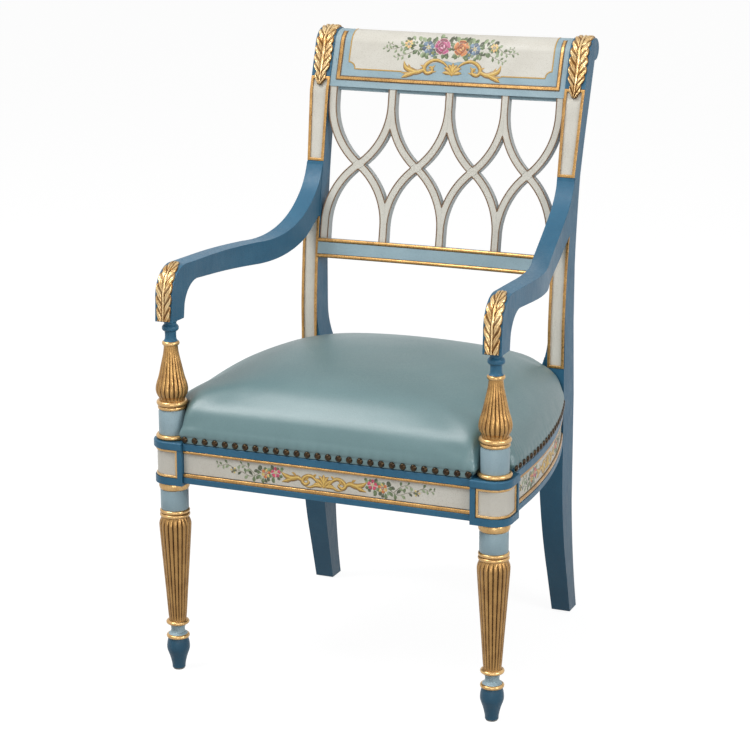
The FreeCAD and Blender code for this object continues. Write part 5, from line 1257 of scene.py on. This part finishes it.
def seat_outline(share, turns):
    """How far each ray from the seat's middle runs inside the plan, shrunk by a share, before it
    leaves it or meets a notch."""
    reach = np.arange(0, longest_ray, ray_step)
    x = np.cos(turns)[:, None] * reach
    y = cushion_centre_y + np.sin(turns)[:, None] * reach
    safe = max(share, 1e-3)
    inside = in_plan(x / safe, cushion_centre_y + (y - cushion_centre_y) / safe)
    inside &= ~in_notch(x, y)
    return reach[np.argmin(inside, axis=1)]


turns = full_turn(480)
stations = np.linspace(0, 1, 34) ** 0.85
station_in = np.linspace(0, 1, len(plan_shares))
shares = np.interp(stations, station_in, plan_shares)
rises = np.interp(stations, station_in, rise_shares)
start_shrink, start_drop, free_from = 0.014, 3.0, 0.33
start_shares = shares * (1 - start_shrink * np.clip(rises / free_from, 0, 1))
reach = np.array([seat_outline(share, turns) for share in start_shares])
crown = start_shares[:, None] / np.hypot(np.cos(turns) / crown_half_x,
                                         np.sin(turns) / crown_half_y)
roundness = np.clip((0.99 - shares) / 0.55, 0, 1)[:, None]
roundness = roundness**2 * (3 - 2 * roundness)
reach = np.minimum(reach, reach * (1 - roundness) + crown * roundness)
waves = np.fft.rfft(reach, axis=1)
sharpest = np.interp(shares, [0.86, 0.985], [7.0, 90.0])[:, None]
reach = np.fft.irfft(waves * np.exp(-(np.arange(waves.shape[1]) / sharpest) ** 2), axis=1)
height = cushion_low + (cushion_high - cushion_low) * rises - start_drop * rises
grid = placed(reach * np.cos(turns), cushion_centre_y + reach * np.sin(turns), height[:, None])
foot = placed(np.zeros_like(turns), cushion_centre_y, height[0])[None]

# The satin: fine threads under a soft sheen, a little uneven in colour from use
satin_cover, tree, shader = finish_of("teal_satin", "upholstery", 0.36, Sheen_Weight=0.05,
                                      Sheen_Roughness=0.4, Specular_IOR_Level=0.9,
                                      Anisotropic=0.3)
weave = threads(tree, (0.0011, 0.0009, 0.0010), 2.0)
slub = cloud(tree, 1300.0, 2.0, (1.0, 0.3, 1.0))
tone = blend_of(tree, span(tree, cloud(tree, 9.0, 4.0), 0.3, 0.7, 0.0, 1.0), shade("5f8083"),
                shade("68898c"))
painted_with(tree, shader, blend_of(tree, span(tree, slub, 0.4, 0.7, 0.0, 0.5), tone,
                                    shade("4f6d71")))
bumped(tree, shader, math_of(tree, "ADD", weave, slub), 0.0002, 0.35)
tree.links.new(span(tree, slub, 0.3, 0.7, 0.32, 0.46), shader.inputs["Roughness"])
cushion = skin("seat_cushion_cover", np.concatenate([foot, grid]), satin_cover)


def applied(piece, modifier):
    """Bakes a modifier into a piece's mesh and takes the modifier off."""
    sight = bpy.context.evaluated_depsgraph_get()
    sight.update()
    baked = bpy.data.meshes.new_from_object(piece.evaluated_get(sight))
    piece.modifiers.remove(modifier)
    piece.data = baked


voxel, pinned_high, cloth_pressure, cloth_stretch, cloth_bend = 0.0052, 15.0, 4.0, 25.0, 6.0
cloth_frames, most_travel, smooth_rounds = 20, 0.005, 36
remesh = cushion.modifiers.new("even", "REMESH")
remesh.mode = "VOXEL"
remesh.voxel_size = voxel
remesh.use_smooth_shade = True
applied(cushion, remesh)
stuffed_from = corners_of(cushion.data)
pin = cushion.vertex_groups.new(name="nailed")
nailed = np.nonzero(stuffed_from[:, 2] < (cushion_low + pinned_high) * mm)[0]
pin.add(nailed.tolist(), 1.0, "REPLACE")
cloth = cushion.modifiers.new("stuffing", "CLOTH")
cloth.settings.use_pressure = True
cloth.settings.uniform_pressure_force = cloth_pressure
cloth.settings.effector_weights.gravity = 0.0
cloth.settings.vertex_group_mass = "nailed"
cloth.settings.tension_stiffness = cloth_stretch
cloth.settings.compression_stiffness = cloth_stretch
cloth.settings.bending_stiffness = cloth_bend
cloth.point_cache.frame_start = 1
cloth.point_cache.frame_end = cloth_frames
for number in range(1, cloth_frames + 1):
    bpy.context.scene.frame_set(number)
applied(cushion, cloth)
bpy.context.scene.frame_set(1)
stuffed = corners_of(cushion.data)
swelling = stuffed - stuffed_from
travel = np.linalg.norm(swelling, axis=1, keepdims=True)
stuffed = stuffed_from + swelling * np.minimum(1, most_travel / np.maximum(travel, 1e-9))
cushion.data.vertices.foreach_set("co", stuffed.ravel())
loose = cushion.vertex_groups.new(name="loose")
freedom = np.clip((stuffed[:, 2] / mm - cushion_low - 12.0) / 40.0, 0, 1).round(1)
for share in np.unique(freedom):
    loose.add(np.nonzero(freedom == share)[0].tolist(), float(share), "REPLACE")
even_out = cushion.modifiers.new("even_out", "SMOOTH")
even_out.factor, even_out.iterations = 0.5, smooth_rounds
even_out.vertex_group = "loose"
applied(cushion, even_out)
finer = cushion.modifiers.new("finer", "SUBSURF")
finer.levels = finer.render_levels = 1
applied(cushion, finer)

# The cover is nailed flush with the hem, drawn in at each nail, pleated beside the supports, and
# clears what it is cut round
flush_heights, flush_shares = (cushion_low, 386.0, 388.0, 394.0), (0.985, 0.995, 1.001, 1.003)
held_top, held_fade, pull_top, pull_fade, pleat_top, pleat_fade = 402, 13, 412, 24, 445, 50
nail_pitch, pull_depth, pleat_pitch, pleat_depth = 16.9, 0.5, 8.5, 0.9
clear_heights, clear_reaches = (385.0, 386.5, 434.0, 440.0), (26.1, 22.4, 22.4, 26.1)
place = corners_of(cushion.data) / mm
place[:, 1] -= leg_y / mm
x, y, z = place.T
reach = np.hypot(x, y - cushion_centre_y)
full = np.interp(np.arctan2(y - cushion_centre_y, x) % (2 * np.pi), turns,
                 seat_outline(1.0, turns), period=2 * np.pi)
flush = np.interp(z, flush_heights, flush_shares)
held = np.clip((held_top - z) / held_fade, 0, 1) * (reach > 0.95 * full)
inward = 1 + (full * flush / np.maximum(reach, 1.0) - 1) * held
place[:, 0] *= inward
place[:, 1] = cushion_centre_y + (y - cushion_centre_y) * inward
x, y, z = place.T
out = unit(np.stack([x, y - cushion_centre_y], axis=1))
run = np.where(y < 0, x, np.sign(x) * y)
low_down = np.clip((pull_top - z) / pull_fade, 0, 1) ** 2
edge = np.clip((np.hypot(x, y - cushion_centre_y) - 150.0) / 60.0, 0, 1)
pull = pull_depth * np.cos(2 * np.pi * run / nail_pitch) * low_down * edge
beside = np.exp(-((y - 40.0) / 24.0) ** 2) * (np.abs(x) > 235.0)
pleat = pleat_depth * np.cos(2 * np.pi * (y + 0.25 * (z - cushion_low)) / pleat_pitch) * beside
pleat *= np.clip((pleat_top - z) / pleat_fade, 0, 1) ** 0.7
place[:, :2] += out * (pull + pleat)[:, None]
x, y = place[:, 0], place[:, 1]
from_axis = np.stack([np.abs(x) - support_x, y], axis=1)
distance = np.linalg.norm(from_axis, axis=1)
clear = np.interp(z, clear_heights, clear_reaches)
near = (distance < clear) & (z < 470)
push = from_axis[near] / distance[near, None] * clear[near, None]
place[near, 0] = np.sign(x[near]) * (support_x + push[:, 0])
place[near, 1] = push[:, 1]
place[:, 1] += leg_y / mm
cushion.data.vertices.foreach_set("co", (place * mm).ravel())
cushion.data.update()
cushion.data.shade_smooth()
cushion.data.materials.clear()
cushion.data.materials.append(satin_cover)
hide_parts("seat_cushion")


# Hem and nails
# The cover's folded edge lies on the rails' tacking edge, and domed bronze nails hold it.
hem_low, hem_high, hem_thick = 376.6, 388.6, 2.2
hem_profile = oval(hem_thick / 2, (hem_high - hem_low) / 2, 0.6, 0.45, 18)
hem_z = (hem_low + hem_high) / 2
nail_z, nail_radius, nail_rise, nail_end, nail_sunk = 382.4, 5.3, 3.6, 3.5, 0.3
front_hem_half, back_half, back_face_y, hem_face = 231.5, 188.0, 446.0, 1.6
across = np.linspace(-front_hem_half, front_hem_half, 120)
hem_lines = {"front": on_front_rail(across, hem_z, rail_sunk - hem_face)}
run = np.linspace(29.5, 403.0, 110)
for side, way in sides.items():
    line = on_side(way, hem_face)(run, hem_z, 0.0)
    hem_lines[f"side_{side}"] = line if way > 0 else line[::-1]
hem_lines["back"] = placed(np.linspace(back_half, -back_half, 100), back_face_y - hem_face,
                           hem_z)
bronze, tree, shader = finish_of("nail_bronze", "glide", 0.22, 0.8)
tarnish = cloud(tree, 300.0, 4.0)
painted_with(tree, shader, blend_of(tree, span(tree, tarnish, 0.35, 0.65, 0.0, 1.0),
                                    shade("1f150e"), shade("42331f")))
ring = full_turn(14)
slope = np.linspace(0, np.pi / 2, 5)[:, None]
dome = np.stack([nail_radius * np.cos(slope) * np.cos(ring),
                 nail_radius * np.cos(slope) * np.sin(ring),
                 nail_rise * np.sin(slope) * np.ones(14)]) * mm
for name, line in hem_lines.items():
    side_way = outward(line)
    hem = carried(f"cover_hem_{name}", line, side_way, hem_profile, satin_cover)
    length = run_of(line)
    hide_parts(f"seat_hem_{name}")
    count = int(round(length[-1] / mm / nail_pitch)) + 1
    at = np.linspace(nail_end * mm, length[-1] - nail_end * mm, count)
    spots, ways = at_runs(at, length, line), at_runs(at, length, side_way)
    spots += ways * (hem_thick / 2 - nail_sunk) * mm
    spots[:, 2] = nail_z * mm
    along = np.stack([-ways[:, 1], ways[:, 0], np.zeros(count)], axis=1)
    spots, along, ways = (part[:, None, None] for part in (spots, along, ways))
    domes = spots + along * dome[0, ..., None] + upright * dome[1, ..., None]
    domes = domes + ways * dome[2, ..., None]
    domes = np.concatenate([np.broadcast_to(spots, domes[:, :1].shape), domes], axis=1)
    mesh = mesh_of(f"nails_{name}", domes,
                   rings_of(np.arange(domes[..., 0].size).reshape(domes.shape[:3])))
    piece_of(f"nails_{name}", mesh, bronze, flat_angle=70.0)
